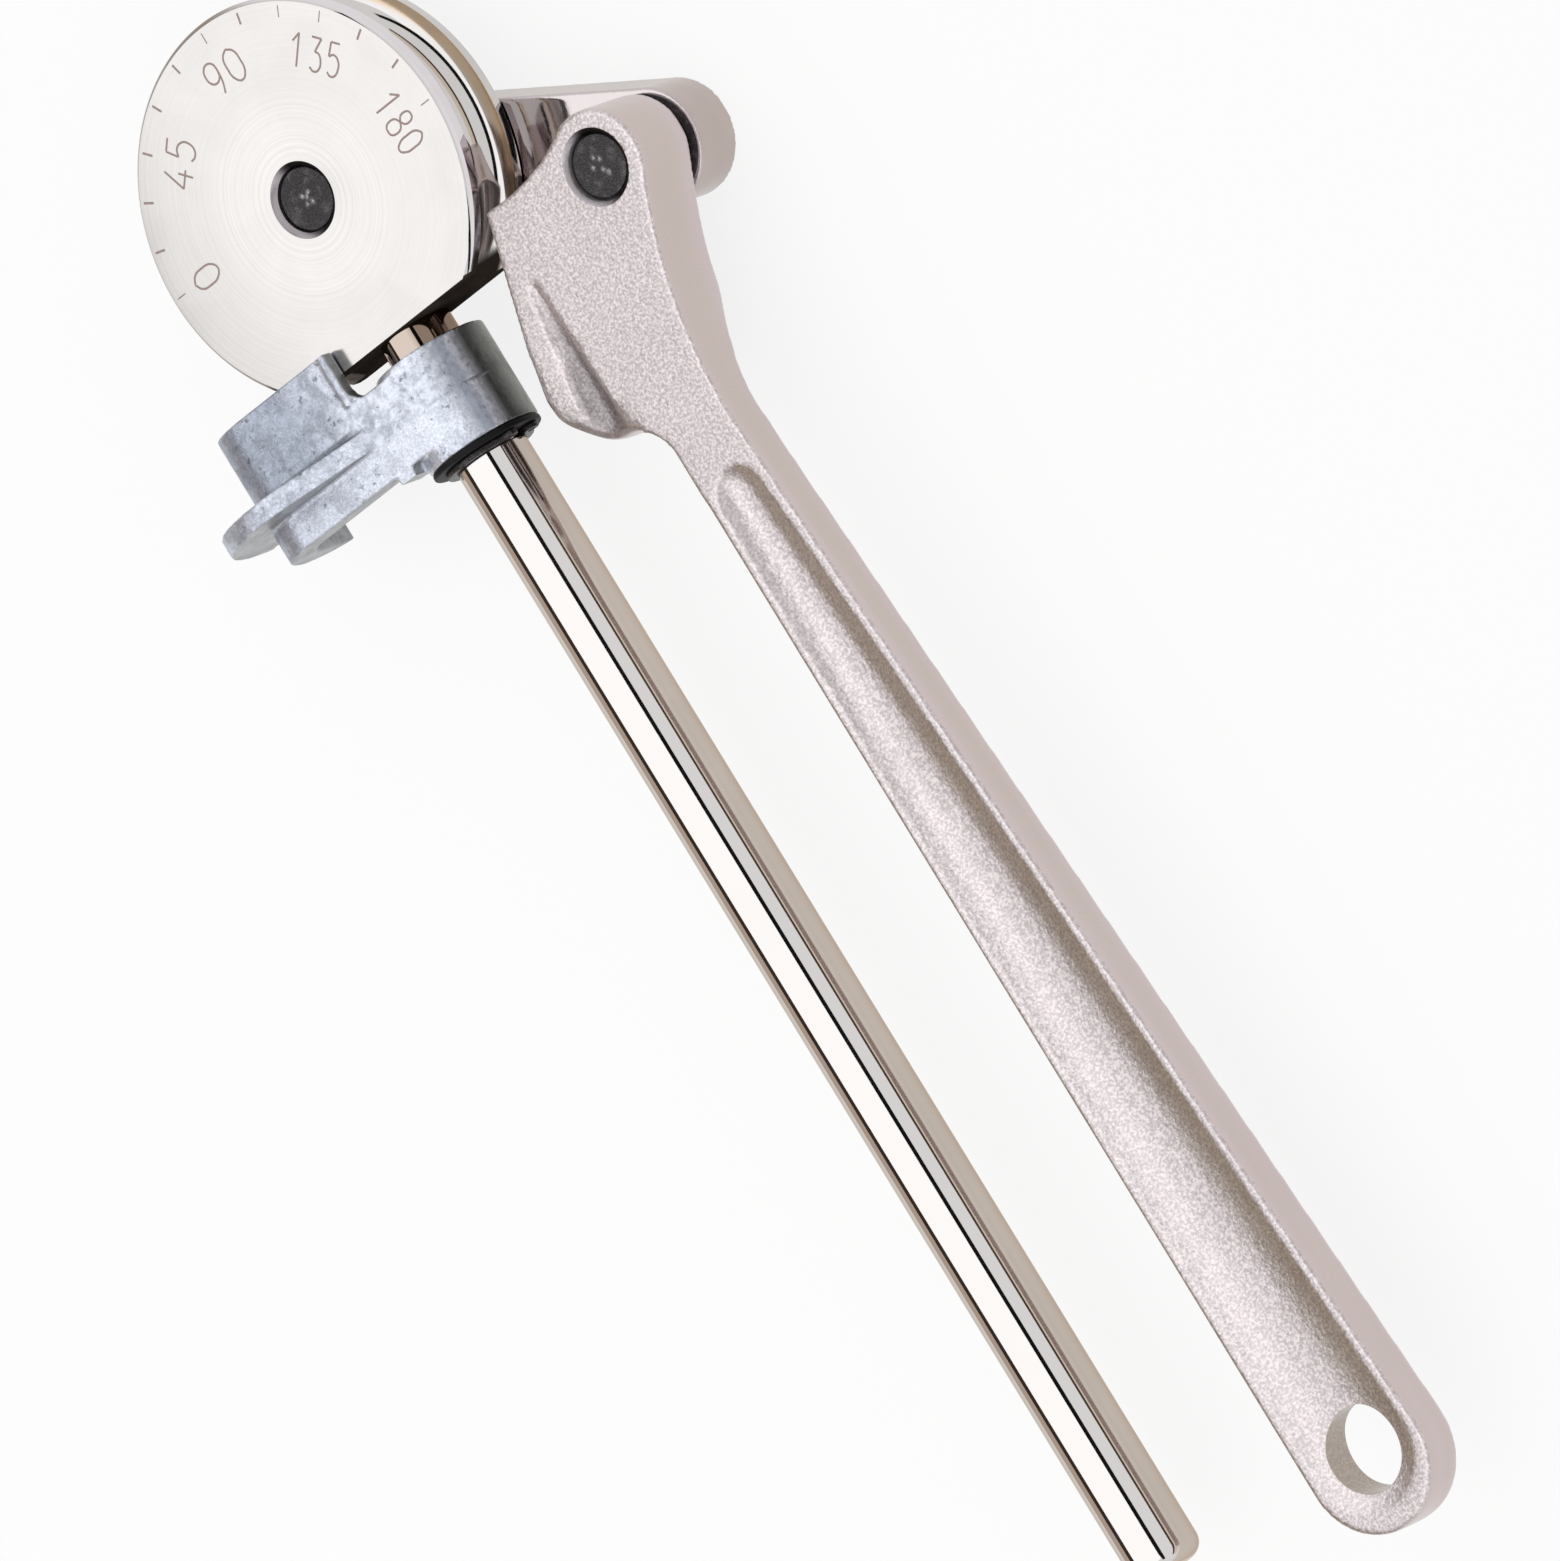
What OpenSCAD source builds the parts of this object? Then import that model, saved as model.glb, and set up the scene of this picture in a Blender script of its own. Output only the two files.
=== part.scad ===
// Lever tube bender for one tube size: a grooved former on a straight rod handle,
// a link that swings about the former, a forged bending lever and a cast tube hook.
// The tool lies on the back of its link. +Z is the former's axis, with the dial up.
// The rod handle runs along -Y, and the zero mark of the dial is at -X.

/* [Tube and former] */
// Outside diameter of the tube that is bent
tube_d = 12; // [10:0.5:14]
// Room between the tube and each groove, on the radius
tube_clearance = 0.1; // [0.05:0.05:0.4]
// Bending radius, from the former's axis to the tube's axis
bend_r = 39; // [36:0.5:46]
// Wall on each side of the former's groove, at the rim
flange_t = 2.9; // [2:0.1:5]
// Chamfer of the former's rim
rim_chamfer = 0.8; // [0.2:0.1:1.5]
// Distance of the former's flat from its axis
flat_y = 31; // [29:0.5:32]

/* [Pins and washers] */
// Diameter of both pivot pins
pin_d = 13; // [10:0.5:14]
// Diameter of a pin's head
pin_head_d = 17; // [15:0.5:18]
// Height of a pin's head
pin_head_t = 2.6; // [1.5:0.1:4]
// Depth of a pin's head below the back of the link
pin_head_recess = 0.4; // [0.2:0.1:1]
// Depth of a pin's end below the dial face
pin_recess = 1.4; // [0.5:0.1:2.5]
// Width of the countersink around a pin's end
pin_sink = 1.3; // [0.5:0.1:2]
// Chamfer of a pin's end
pin_chamfer = 0.5; // [0.2:0.1:1]
// Thickness of the thrust washers
washer_t = 0.5; // [0.3:0.1:1]
// Width of the thrust washers' ring
washer_w = 4; // [2:0.5:4.5]

/* [Link] */
// Distance between the two pins
link_l = 68.9; // [66:0.1:80]
// Direction of the link from the former's axis, at rest
link_angle = -25.8; // [-30:0.1:-20]
// Thickness of the link
link_t = 11.5; // [8:0.5:14]
// End radius at the former
link_r_former = 14; // [12:0.5:16]
// End radius at the lever
link_r_lever = 11.5; // [10.5:0.5:14]

/* [Rod handle] */
// Diameter of the rod
rod_d = 15; // [13:0.5:16]
// Length of the rod from the former's flat to its end
rod_l = 275.5; // [180:0.5:320]
// Rounding of the rod's free end
rod_end_r = 3.5; // [1:0.5:6]
// Diameter of the spigot in the former
spigot_d = 11; // [8:0.5:12]
// Length of the spigot in the former
spigot_l = 18; // [10:1:20]
// Chamfer of the spigot's end
spigot_chamfer = 1; // [0.5:0.1:2]

/* [Hook ring and circlip] */
// Outside diameter of the black ring under the hook
ring_d = 23.4; // [20:0.1:25]
// Thickness of the black ring
ring_t = 1.2; // [1:0.1:4]
// Thickness of the circlip
clip_t = 1.1; // [0.8:0.1:1.6]
// Depth of the circlip's groove in the rod
clip_groove = 0.5; // [0.3:0.1:1]
// Width of the circlip's band beyond the rod
clip_w = 1.9; // [1.2:0.1:2.6]
// Half of the angle that the circlip leaves open
clip_open = 22; // [15:1:40]
// Radius of the circlip's ears
clip_ear_r = 1.7; // [1.3:0.1:2]
// Radius of the holes in the circlip's ears
clip_ear_hole = 0.75; // [0.4:0.05:1]

/* [Tube hook] */
// Bare rod between the former's flat and the hook
hook_gap = 5.3; // [4:0.1:9]
// Length of the boss around the rod
boss_l = 20.8; // [14:0.1:26]
// Wall of the boss around the rod
boss_wall = 4.2; // [3:0.1:6]
// Wall of the saddle around the tube
saddle_wall = 5.8; // [4.5:0.1:8]
// Length of the saddle along the tube
saddle_l = 27.5; // [20:0.5:34]
// Distance of the saddle's lower end from the boss's lower end
saddle_inset = 3.3; // [0:0.1:4]
// Height that the saddle's outer wall reaches below the tube's axis
saddle_drop = 10; // [6:0.5:11]
// Room between the hook and the dial face
dial_gap = 0.4; // [0.2:0.1:1]
// Room around the former's rim under the hook
rim_gap = 0.8; // [0.4:0.1:2]
// Gap between the rod's axis and the hook's plate beside the former
plate_edge = 12.5; // [10:0.5:20]
// Depth of the notch between the plate and the boss, along the rod
notch_l = 1.1; // [0:0.1:4]
// Radius of the corner of the notch
notch_r = 3; // [1:0.5:5]
// Width of the raised rib along the plate's edge
rib_w = 1.6; // [1:0.1:3]
// Height of the raised rib
rib_h = 0.7; // [0.3:0.1:1.5]
// Thickness of the thumb fin
fin_t = 4; // [3:0.5:6]
// Distance of the fin from the saddle's lower end
fin_place = 7; // [4:0.5:16]
// Height of the fin over the saddle
fin_h = 9; // [4:0.5:14]
// Angle about the tube where the fin ends, from +X
fin_end = 205; // [170:5:220]
// Rounding of the fin's end
fin_end_r = 3.5; // [2:0.5:4]

/* [Lever head] */
// Radius of the lever's boss
lever_boss_r = 11; // [10:0.2:13]
// Reach of the nose from the lever's pin, across the lever
nose_x = 27.5; // [25:0.5:28]
// Reach of the nose from the lever's pin, along the lever
nose_y = 6.4; // [4:0.2:8]
// Radius of the hollow between the nose and the boss
nose_hollow_r = 40; // [25:1:80]
// Angle of the boss where that hollow leaves it, from +X
top_angle = 106; // [100:1:110]
// Distance from the pin to the end of the shoe's straight lip, along the lever
lip_y = 29; // [24:0.2:34]
// Angle between the shoe's lip and the lever's length
lip_angle = 15; // [8:1:20]
// Radius of the shoe's rounded tail
tail_r = 11.2; // [9:0.2:13]
// Radius of the hollow between the tail and the shank
tail_hollow_r = 9.5; // [6:0.5:14]
// Depth of the valley beside the shoe's lip, at its narrow end
valley_d0 = 0.8; // [0.5:0.1:1.5]
// Depth of the valley at the tail's edge, where it runs out
valley_d1 = 2.4; // [1:0.1:2.6]
// Half width of the valley at its narrow end
valley_w0 = 1.4; // [1:0.1:3]
// Half width of the valley at its wide end
valley_w1 = 4.6; // [3:0.1:5]
// Distance of the valley from the shoe's lip at its narrow end
valley_in0 = 5; // [4:0.1:7]
// Distance of the valley from the shoe's lip at its wide end
valley_in1 = 10.6; // [5:0.1:12]
// Length of the valley beside the straight lip
valley_l = 20; // [16:1:30]
// Run of the valley beyond the straight lip, to the tail's edge
valley_out = 10; // [2:0.5:12]

/* [Lever shank] */
// Distance from the lever's pin to the centre of the hang hole
shank_l = 280; // [180:1:320]
// Distance from the hang hole's centre to the centre of the round end
hang_inset = 2; // [0:0.2:4]
// Radius of the shank's round end
shank_end_r = 14.4; // [12:0.2:17]
// Place of the shank's end across the lever, from the pin
shank_end_x = -4.7; // [-8:0.1:-3]
// Place of the neck's right side across the lever, from the pin
neck_x = -3.4; // [-6:0.2:0]
// Distance from the pin to the narrowest place of the neck
neck_y = 53; // [46:1:60]
// Thickness of the shank
shank_t = 10.5; // [9:0.5:14]
// Length of the curve from the thick head to the shank's back
shank_run = 22; // [18:1:50]
// Distance from the pin to where that curve starts, along the lever
shank_run_y = 17; // [16:1:36]
// Turn of that curve, which leaves the shoe thick
shank_run_turn = 40; // [30:1:42]
// Diameter of the hang hole
hang_d = 17; // [10:0.5:18]
// Depth of the pocket in each face of the shank
pocket_d = 2.7; // [2:0.1:3.6]
// Half width of the pocket at its narrow end
pocket_w0 = 5.6; // [4:0.1:6]
// Half width of the pocket around the hang hole
pocket_w1 = 12.4; // [9.5:0.1:13]
// Distance from the pin to the pocket's narrow end
pocket_y0 = 66; // [64:1:80]
// Place of the pocket's narrow end across the lever, from the pin
pocket_x0 = -11.2; // [-12:0.1:-9]

/* [Fits] */
// Running clearance of the pivots, on the radius
running_fit = 0.05; // [0.02:0.01:0.1]
// Clearance of pressed pins and of the screwed spigot, on the radius
press_fit = 0.01; // [0.005:0.005:0.02]
// Free clearance of washers and pin heads, on the radius
free_fit = 0.3; // [0.1:0.05:0.5]
// End float of the pin heads and the circlip
end_float = 0.05; // [0.02:0.01:0.2]

/* [Hidden] */
$fn = 96;
over = 1;
far = 500;
// Hair's breadth by which a straight run or a hollow cuts into the round that it meets
lap = 0.05;
// Amount by which the round ends of a scoop are wider than its taper
scoop_bulge = 0.3;

// Levels, from the bench up
groove_r = tube_d / 2 + tube_clearance;
former_t = 2 * (groove_r + flange_t);
former_z0 = link_t + washer_t;
axis_z = former_z0 + former_t / 2;
face_z = former_z0 + former_t;
pin_head_z1 = pin_head_recess + pin_head_t;
head_seat = pin_head_z1 + end_float;

// Lever pin's place, and the lever's own points measured from it
lever_at = [link_l * cos(link_angle), link_l * sin(link_angle)];
shank_left = shank_end_x - shank_end_r;
lip_dir = [-sin(lip_angle), -cos(lip_angle)];
lip_in = [cos(lip_angle), -sin(lip_angle)];
nose = [-nose_x, nose_y];
lip_l = (nose_y + lip_y) / cos(lip_angle);
lip_end = nose + lip_l * lip_dir;
tail = lip_end + (tail_r - 2 * lap) * lip_in;
hollow = [shank_left - tail_hollow_r,
    tail[1] - sqrt(pow(tail_r + tail_hollow_r, 2) - pow(shank_left - tail_hollow_r - tail[0], 2))];
neck_r = (pow(neck_x, 2) + pow(neck_y, 2) - pow(lever_boss_r, 2)) / (2 * (lever_boss_r - neck_x));
boss_top = lever_boss_r * [cos(top_angle), sin(top_angle)];
nose_way = boss_top - nose;
nose_hollow_at = (nose + boss_top) / 2
    + [-nose_way[1], nose_way[0]] / norm(nose_way) * sqrt(pow(nose_hollow_r, 2) - pow(norm(nose_way) / 2, 2));
back_steps = 8;

// Hook's own places
rod_r = rod_d / 2;
boss_r = rod_r + running_fit + boss_wall;
boss_y0 = -(flat_y + hook_gap);
boss_y1 = boss_y0 - boss_l;
saddle_r = groove_r + saddle_wall;
saddle_y1 = boss_y1 + saddle_inset;
saddle_y0 = saddle_y1 + saddle_l;
fin_r = saddle_r + fin_h;
clip_y1 = boss_y1 - ring_t - end_float - clip_t;

// Radius of a ball that sinks to a depth and leaves a mouth of a half width
function ball(half_w, depth) = (pow(half_w, 2) + pow(depth, 2)) / (2 * depth);

// Turns what is drawn in X, Z so that its height runs along -Y
module along_rod(y) {
    translate([0, y, axis_z]) rotate([90, 0, 0]) children();
}

// Long tapered scoop with round ends
module tapered_scoop(p0, r0, p1, r1) {
    way = p1 - p0;
    span = norm(way);
    translate(p0) sphere(r0 + scoop_bulge);
    translate(p1) sphere(r1 + scoop_bulge);
    translate(p0) rotate([0, acos(way[2] / span), atan2(way[1], way[0])])
        cylinder(r1 = r0, r2 = r1, h = span);
}

// Scoop that sinks below a face at height z, from one plan point to another
module face_scoop(q0, w0, d0, q1, w1, d1, z) {
    r0 = ball(w0, d0);
    r1 = ball(w1, d1);
    tapered_scoop([q0[0], q0[1], z + r0 - d0], r0, [q1[0], q1[1], z + r1 - d1], r1);
}

// Bore for a pin, with its countersink in the face
module pin_bore() {
    translate([0, 0, former_z0 - over]) cylinder(d = pin_d + 2 * press_fit, h = former_t + 2 * over);
    translate([0, 0, face_z - pin_sink])
        cylinder(d1 = pin_d, d2 = pin_d + 4 * pin_sink, h = 2 * pin_sink);
}

// Headed pin, from the back of the link to just under the face
module headed_pin() {
    translate([0, 0, pin_head_recess]) cylinder(d = pin_head_d, h = pin_head_t);
    translate([0, 0, pin_head_z1]) cylinder(d = pin_d, h = face_z - pin_recess - pin_chamfer - pin_head_z1);
    translate([0, 0, face_z - pin_recess - pin_chamfer])
        cylinder(d1 = pin_d, d2 = pin_d - 2 * pin_chamfer, h = pin_chamfer);
}

module thrust_washer() {
    translate([0, 0, link_t]) difference() {
        cylinder(d = pin_d + 2 * washer_w, h = washer_t);
        translate([0, 0, -over]) cylinder(d = pin_d + 2 * free_fit, h = washer_t + 2 * over);
    }
}

module former() {
    color("gainsboro") difference() {
        rotate_extrude() difference() {
            polygon([[0, former_z0], [bend_r - rim_chamfer, former_z0], [bend_r, former_z0 + rim_chamfer],
                [bend_r, face_z - rim_chamfer], [bend_r - rim_chamfer, face_z], [0, face_z]]);
            translate([bend_r, axis_z]) circle(groove_r);
        }
        translate([-far, -flat_y - far, 0]) cube([2 * far, far, far]);
        pin_bore();
        along_rod(over - flat_y) translate([0, 0, -spigot_l - over])
            cylinder(d = spigot_d + 2 * press_fit, h = spigot_l + 3 * over);
    }
}

module former_pin() {
    color("dimgray") headed_pin();
}

module rod_handle() {
    color("lightgray") difference() {
        along_rod(-flat_y) rotate_extrude() {
            difference() {
                union() {
                    square([rod_r - rod_end_r, rod_l]);
                    square([rod_r, rod_l - rod_end_r]);
                    translate([rod_r - rod_end_r, rod_l - rod_end_r]) intersection() {
                        circle(rod_end_r);
                        square(rod_end_r);
                    }
                }
                translate([rod_r - clip_groove, -flat_y - clip_y1 - clip_t - end_float])
                    square([rod_r, clip_t + 2 * end_float]);
            }
            polygon([[0, -spigot_l], [spigot_d / 2 - spigot_chamfer, -spigot_l],
                [spigot_d / 2, -spigot_l + spigot_chamfer], [spigot_d / 2, 0], [0, 0]]);
        }
    }
}

module rod_circlip() {
    inner = rod_r - clip_groove + press_fit;
    outer = rod_r + clip_w;
    ear = rod_r + clip_ear_r + running_fit;
    color("slategray") along_rod(clip_y1 + clip_t) linear_extrude(clip_t) difference() {
        union() {
            difference() {
                circle(outer);
                circle(inner);
                polygon([[0, 0], 2 * outer * [cos(clip_open), sin(clip_open)], [3 * outer, 0],
                    2 * outer * [cos(clip_open), -sin(clip_open)]]);
            }
            for (s = [-1, 1]) rotate(s * clip_open) translate([ear, 0]) circle(clip_ear_r);
        }
        for (s = [-1, 1]) rotate(s * clip_open) translate([ear, 0]) circle(clip_ear_hole);
    }
}

module hook_ring() {
    color("black") along_rod(boss_y1) difference() {
        cylinder(d = ring_d, h = ring_t);
        translate([0, 0, -over]) cylinder(r = rod_r + running_fit, h = ring_t + 2 * over);
    }
}

// Plan of the hook, square to the rod: boss, plate and saddle round the tube
module hook_arm() {
    translate([-bend_r, 0]) square([bend_r, saddle_r]);
    translate([-bend_r, 0]) circle(saddle_r);
}

// Room for the tube: open below and towards the former, closed outside
module tube_way() {
    translate([-bend_r, 0]) circle(groove_r);
    translate([-bend_r - groove_r, -far]) square([far, far]);
    translate([-bend_r, -far]) square([far, far + groove_r]);
}

// Thumb fin: a disc about the tube, run out in a straight line to the plate's edge
module fin_plan() {
    start = [-plate_edge, saddle_r];
    reach = norm(start + [bend_r, 0]);
    tangent = atan2(start[1], start[0] + bend_r) + acos(fin_r / reach);
    touch = [-bend_r, 0] + fin_r * [cos(tangent), sin(tangent)];
    end_at = [-bend_r, 0] + (fin_r - fin_end_r) * [cos(fin_end), sin(fin_end)];
    polygon([start, touch, [-bend_r, 0]]);
    intersection() {
        translate([-bend_r, 0]) circle(fin_r);
        translate([-bend_r, 0]) polygon([[0, 0], 2 * fin_r * [cos(tangent), sin(tangent)],
            2 * fin_r * [-1, 1], 2 * fin_r * [-1, 0],
            2 * fin_r * [cos(fin_end - asin(fin_end_r / (fin_r - fin_end_r))),
                sin(fin_end - asin(fin_end_r / (fin_r - fin_end_r)))]]);
    }
    translate(end_at) circle(fin_end_r);
    translate([-bend_r, 0]) rotate(fin_end) translate([0, -fin_end_r])
        square([fin_r - fin_end_r, 2 * fin_end_r]);
}

module tube_hook() {
    color("lightsteelblue") difference() {
        union() {
            along_rod(boss_y0) cylinder(r = boss_r, h = boss_l);
            difference() {
                union() {
                    along_rod(saddle_y0) linear_extrude(saddle_l) hook_arm();
                    along_rod(saddle_y1 + fin_place + fin_t) linear_extrude(fin_t) fin_plan();
                    translate([-plate_edge - rib_w, boss_y0 - notch_l, axis_z])
                        cube([rib_w, saddle_y0 - boss_y0 + notch_l, saddle_r + rib_h]);
                }
                along_rod(saddle_y0 + over) linear_extrude(saddle_l + 2 * over) tube_way();
                translate([-bend_r - far, -far, 0]) cube([far, 2 * far, axis_z - saddle_drop]);
                // Step over the dial, and the notch that shows the bare rod
                cylinder(r = bend_r + rim_gap, h = face_z + dial_gap);
                translate([-plate_edge, boss_y0 - notch_l + notch_r, 0]) cube([far, far, far]);
                translate([-plate_edge + notch_r, boss_y0 - notch_l, 0]) cube([far, far, far]);
                translate([-plate_edge + notch_r, boss_y0 - notch_l + notch_r, 0])
                    cylinder(r = notch_r, h = far);
            }
        }
        along_rod(boss_y0 + over) cylinder(r = rod_r + running_fit, h = boss_l + 2 * over);
    }
}

module link_bar() {
    turn = asin((link_r_former - link_r_lever) / link_l);
    color("silver") rotate(link_angle) difference() {
        union() {
            cylinder(r = link_r_former, h = link_t);
            translate([link_l, 0, 0]) cylinder(r = link_r_lever, h = link_t);
            linear_extrude(link_t) polygon([for (end = [[0, link_r_former, 1], [link_l, link_r_lever, 1],
                    [link_l, link_r_lever, -1], [0, link_r_former, -1]])
                [end[0], 0] + (end[1] - lap) * [sin(turn), end[2] * cos(turn)]]);
        }
        for (x = [0, link_l]) translate([x, 0, 0]) {
            translate([0, 0, -over]) cylinder(d = pin_d + 2 * running_fit, h = link_t + 2 * over);
            translate([0, 0, -over]) cylinder(d = pin_head_d + 2 * free_fit, h = head_seat + over);
        }
    }
}

module former_washer() {
    color("darkgray") thrust_washer();
}

module lever_washer() {
    color("darkgray") translate(lever_at) thrust_washer();
}

// Lever's outline at its full thickness, with the pin at the origin
module lever_blank() {
    difference() {
        union() {
            cylinder(r = lever_boss_r, h = former_t);
            translate(tail) cylinder(r = tail_r, h = former_t);
            translate([shank_end_x, -shank_l - hang_inset]) cylinder(r = shank_end_r, h = former_t);
            // Nose, lip, tail, shank and neck
            linear_extrude(former_t) polygon([nose - over * lip_dir, lip_end, tail, hollow, [shank_left, hollow[1]],
                [shank_left + lap, -shank_l - hang_inset],
                [shank_end_x + shank_end_r - lap, -shank_l - hang_inset],
                [neck_x, -neck_y], [neck_x + neck_r, -neck_y], [0, 0], boss_top * (1 - lap)]);
        }
        for (cut = [[[neck_x + neck_r, -neck_y], neck_r], [hollow, tail_hollow_r],
                [nose_hollow_at, nose_hollow_r]])
            translate([cut[0][0], cut[0][1], -over]) cylinder(r = cut[1] + lap, h = former_t + 2 * over);
    }
}

module lever() {
    mid_z = axis_z;
    shank_z0 = face_z - shank_t;
    back_rise = former_t - shank_t + over;
    pocket_q0 = [pocket_x0, -pocket_y0];
    pocket_q1 = [shank_end_x, -shank_l];
    valley_q0 = nose + (lip_l - valley_l) * lip_dir + valley_in0 * lip_in;
    valley_q1 = nose + (lip_l + valley_out) * lip_dir + valley_in1 * lip_in;
    color("silver") translate(lever_at) difference() {
        translate([0, 0, former_z0]) lever_blank();
        pin_bore();
        // Half-round groove that slides along the tube
        translate([nose[0], nose[1], mid_z]) rotate([0, 0, -90 - lip_angle]) rotate([0, 90, 0])
            translate([0, 0, -far / 2]) cylinder(r = groove_r, h = far);
        // Thinner shank, run into the head in a long curve
        translate([0, -shank_run_y, 0]) rotate([90, 0, 90 + shank_run_turn]) translate([0, 0, -far / 2])
            linear_extrude(far) polygon(concat([[0, 0]], [for (i = [0 : back_steps])
                [-shank_run * i / back_steps, shank_z0 - back_rise * (1 + cos(180 * i / back_steps)) / 2]],
                [[-far, shank_z0], [-far, 0]]));
        // Pockets in both faces of the shank, and a valley beside the lip on both sides
        face_scoop(pocket_q0, pocket_w0, pocket_d, pocket_q1, pocket_w1, pocket_d, face_z);
        translate([0, 0, 2 * face_z - shank_t]) mirror([0, 0, 1])
            face_scoop(pocket_q0, pocket_w0, pocket_d, pocket_q1, pocket_w1, pocket_d, face_z);
        face_scoop(valley_q0, valley_w0, valley_d0, valley_q1, valley_w1, valley_d1, face_z);
        translate([0, 0, 2 * mid_z]) mirror([0, 0, 1])
            face_scoop(valley_q0, valley_w0, valley_d0, valley_q1, valley_w1, valley_d1, face_z);
        translate([shank_end_x, -shank_l, 0]) cylinder(d = hang_d, h = far);
    }
}

module lever_pin() {
    color("dimgray") translate(lever_at) headed_pin();
}

former();
former_pin();
rod_handle();
rod_circlip();
hook_ring();
tube_hook();
link_bar();
former_washer();
lever_washer();
lever();
lever_pin();
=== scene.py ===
"""Dressed model of a one-size lever tube bender on a pale studio floor.

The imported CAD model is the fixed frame. Each operator builds one piece, or a group of like pieces,
in that frame, gives it its finish and lets it ride on its body.
"""

import math
from types import SimpleNamespace

import bmesh
import bpy
from bpy.props import FloatProperty, FloatVectorProperty, IntProperty, PointerProperty
from mathutils import Matrix, Vector


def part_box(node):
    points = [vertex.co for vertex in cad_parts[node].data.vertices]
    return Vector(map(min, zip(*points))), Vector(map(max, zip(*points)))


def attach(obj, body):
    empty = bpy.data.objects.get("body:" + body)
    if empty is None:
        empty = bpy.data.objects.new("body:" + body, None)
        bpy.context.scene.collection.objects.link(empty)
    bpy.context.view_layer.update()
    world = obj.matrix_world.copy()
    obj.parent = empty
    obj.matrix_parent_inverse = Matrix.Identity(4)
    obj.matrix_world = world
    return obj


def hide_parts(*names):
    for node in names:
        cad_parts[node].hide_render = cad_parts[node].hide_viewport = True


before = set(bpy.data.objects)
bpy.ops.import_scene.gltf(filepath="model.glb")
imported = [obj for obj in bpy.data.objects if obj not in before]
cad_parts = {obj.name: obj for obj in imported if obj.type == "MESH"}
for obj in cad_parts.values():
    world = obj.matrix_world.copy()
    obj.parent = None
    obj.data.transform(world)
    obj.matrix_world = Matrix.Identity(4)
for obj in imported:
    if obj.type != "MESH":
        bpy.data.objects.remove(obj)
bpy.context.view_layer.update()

bl_info = {
    "name": "Tube bender",
    "version": (1, 0, 0),
    "blender": (4, 5, 0),
    "location": "View3D > Sidebar > Bender",
    "description": "Builds the dressed pieces of a lever tube bender over its CAD frame",
    "category": "Object",
}

MM = 0.001
MERGE = 1e-6
FORMER_LOW, FORMER_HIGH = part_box("former")
ROD_LOW, ROD_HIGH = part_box("rod_handle")
PIN_LOW, PIN_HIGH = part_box("former_pin")
RING_LOW, RING_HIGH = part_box("hook_ring")
HOOK_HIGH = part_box("tube_hook")[1]
HOOK_BOSS_TOP = FORMER_LOW.y - 5.3 * MM
FIN_Y = RING_HIGH.y + 10.3 * MM
BEND_R = min(FORMER_HIGH.x, FORMER_HIGH.y)
FACE_Z = FORMER_HIGH.z
BACK_Z = FORMER_LOW.z
AXIS_Z = (FACE_Z + BACK_Z) / 2
SADDLE_Z = AXIS_Z + 11.9 * MM
BORE_R, BORE_SINK = 6.51 * MM, 1.0 * MM
SHANK_H, HANG_R = 10.5 * MM, 8.5 * MM
LEVER_AT = (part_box("lever_pin")[0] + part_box("lever_pin")[1]) / 2
LEVER_AT.z = 0
HANG_AT = LEVER_AT + Vector((-4.7, -280, 0)) * MM

# Colours of small places, at the two ends of the mask that spreads them. All but the struck steel are painted:
# reflections on the former and the rod, light and shade in the countersinks, and shade on the hook
DARK_CHAMFER_REFLECTION = (0.2, 0.155, 0.125), (0.25, 0.2, 0.16)
TAN_FLANK_REFLECTION = (0.58, 0.45, 0.32), (0.64, 0.5, 0.36)
PALE_LAND_REFLECTION = (0.69, 0.65, 0.67), (0.74, 0.7, 0.72)
DARK_FLAT_REFLECTION = (0.03, 0.024, 0.02), (0.06, 0.048, 0.038)
FORMER_SINK_LIGHT_AND_SHADE = (0.015, 0.013, 0.013), (0.4, 0.37, 0.39)
LEVER_SINK_LIGHT_AND_SHADE = (0.015, 0.013, 0.013), (0.42, 0.39, 0.41)
ROD_UNDERSIDE_REFLECTION = (0.53, 0.465, 0.41), (0.56, 0.49, 0.435)
ROD_NECK_REFLECTION = (0.47, 0.4, 0.345), (0.24, 0.175, 0.135)
CAST_WALL_SHADE = (0.36, 0.375, 0.385), (0.26, 0.27, 0.275)
OLIVE_SIDE_SHADE = (0.085, 0.09, 0.088), (0.215, 0.22, 0.195)
OLIVE_SHADE_FLOW = (0.3, 0.31, 0.3), (0.1, 0.1, 0.09)
STRUCK_STEEL = (0.2, 0.2, 0.21), (0.5, 0.5, 0.52)


def length(name, description, default, low, high):
    """Property for a length, from its values in millimetres."""
    return FloatProperty(name=name, description=description, default=default * MM, min=low * MM,
                         max=high * MM, precision=5, subtype="DISTANCE", unit="LENGTH")


def tint(name, description, default):
    """Property for the colour of a finish."""
    return FloatVectorProperty(name=name, description=description, default=default, min=0, max=1,
                               subtype="COLOR")


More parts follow.
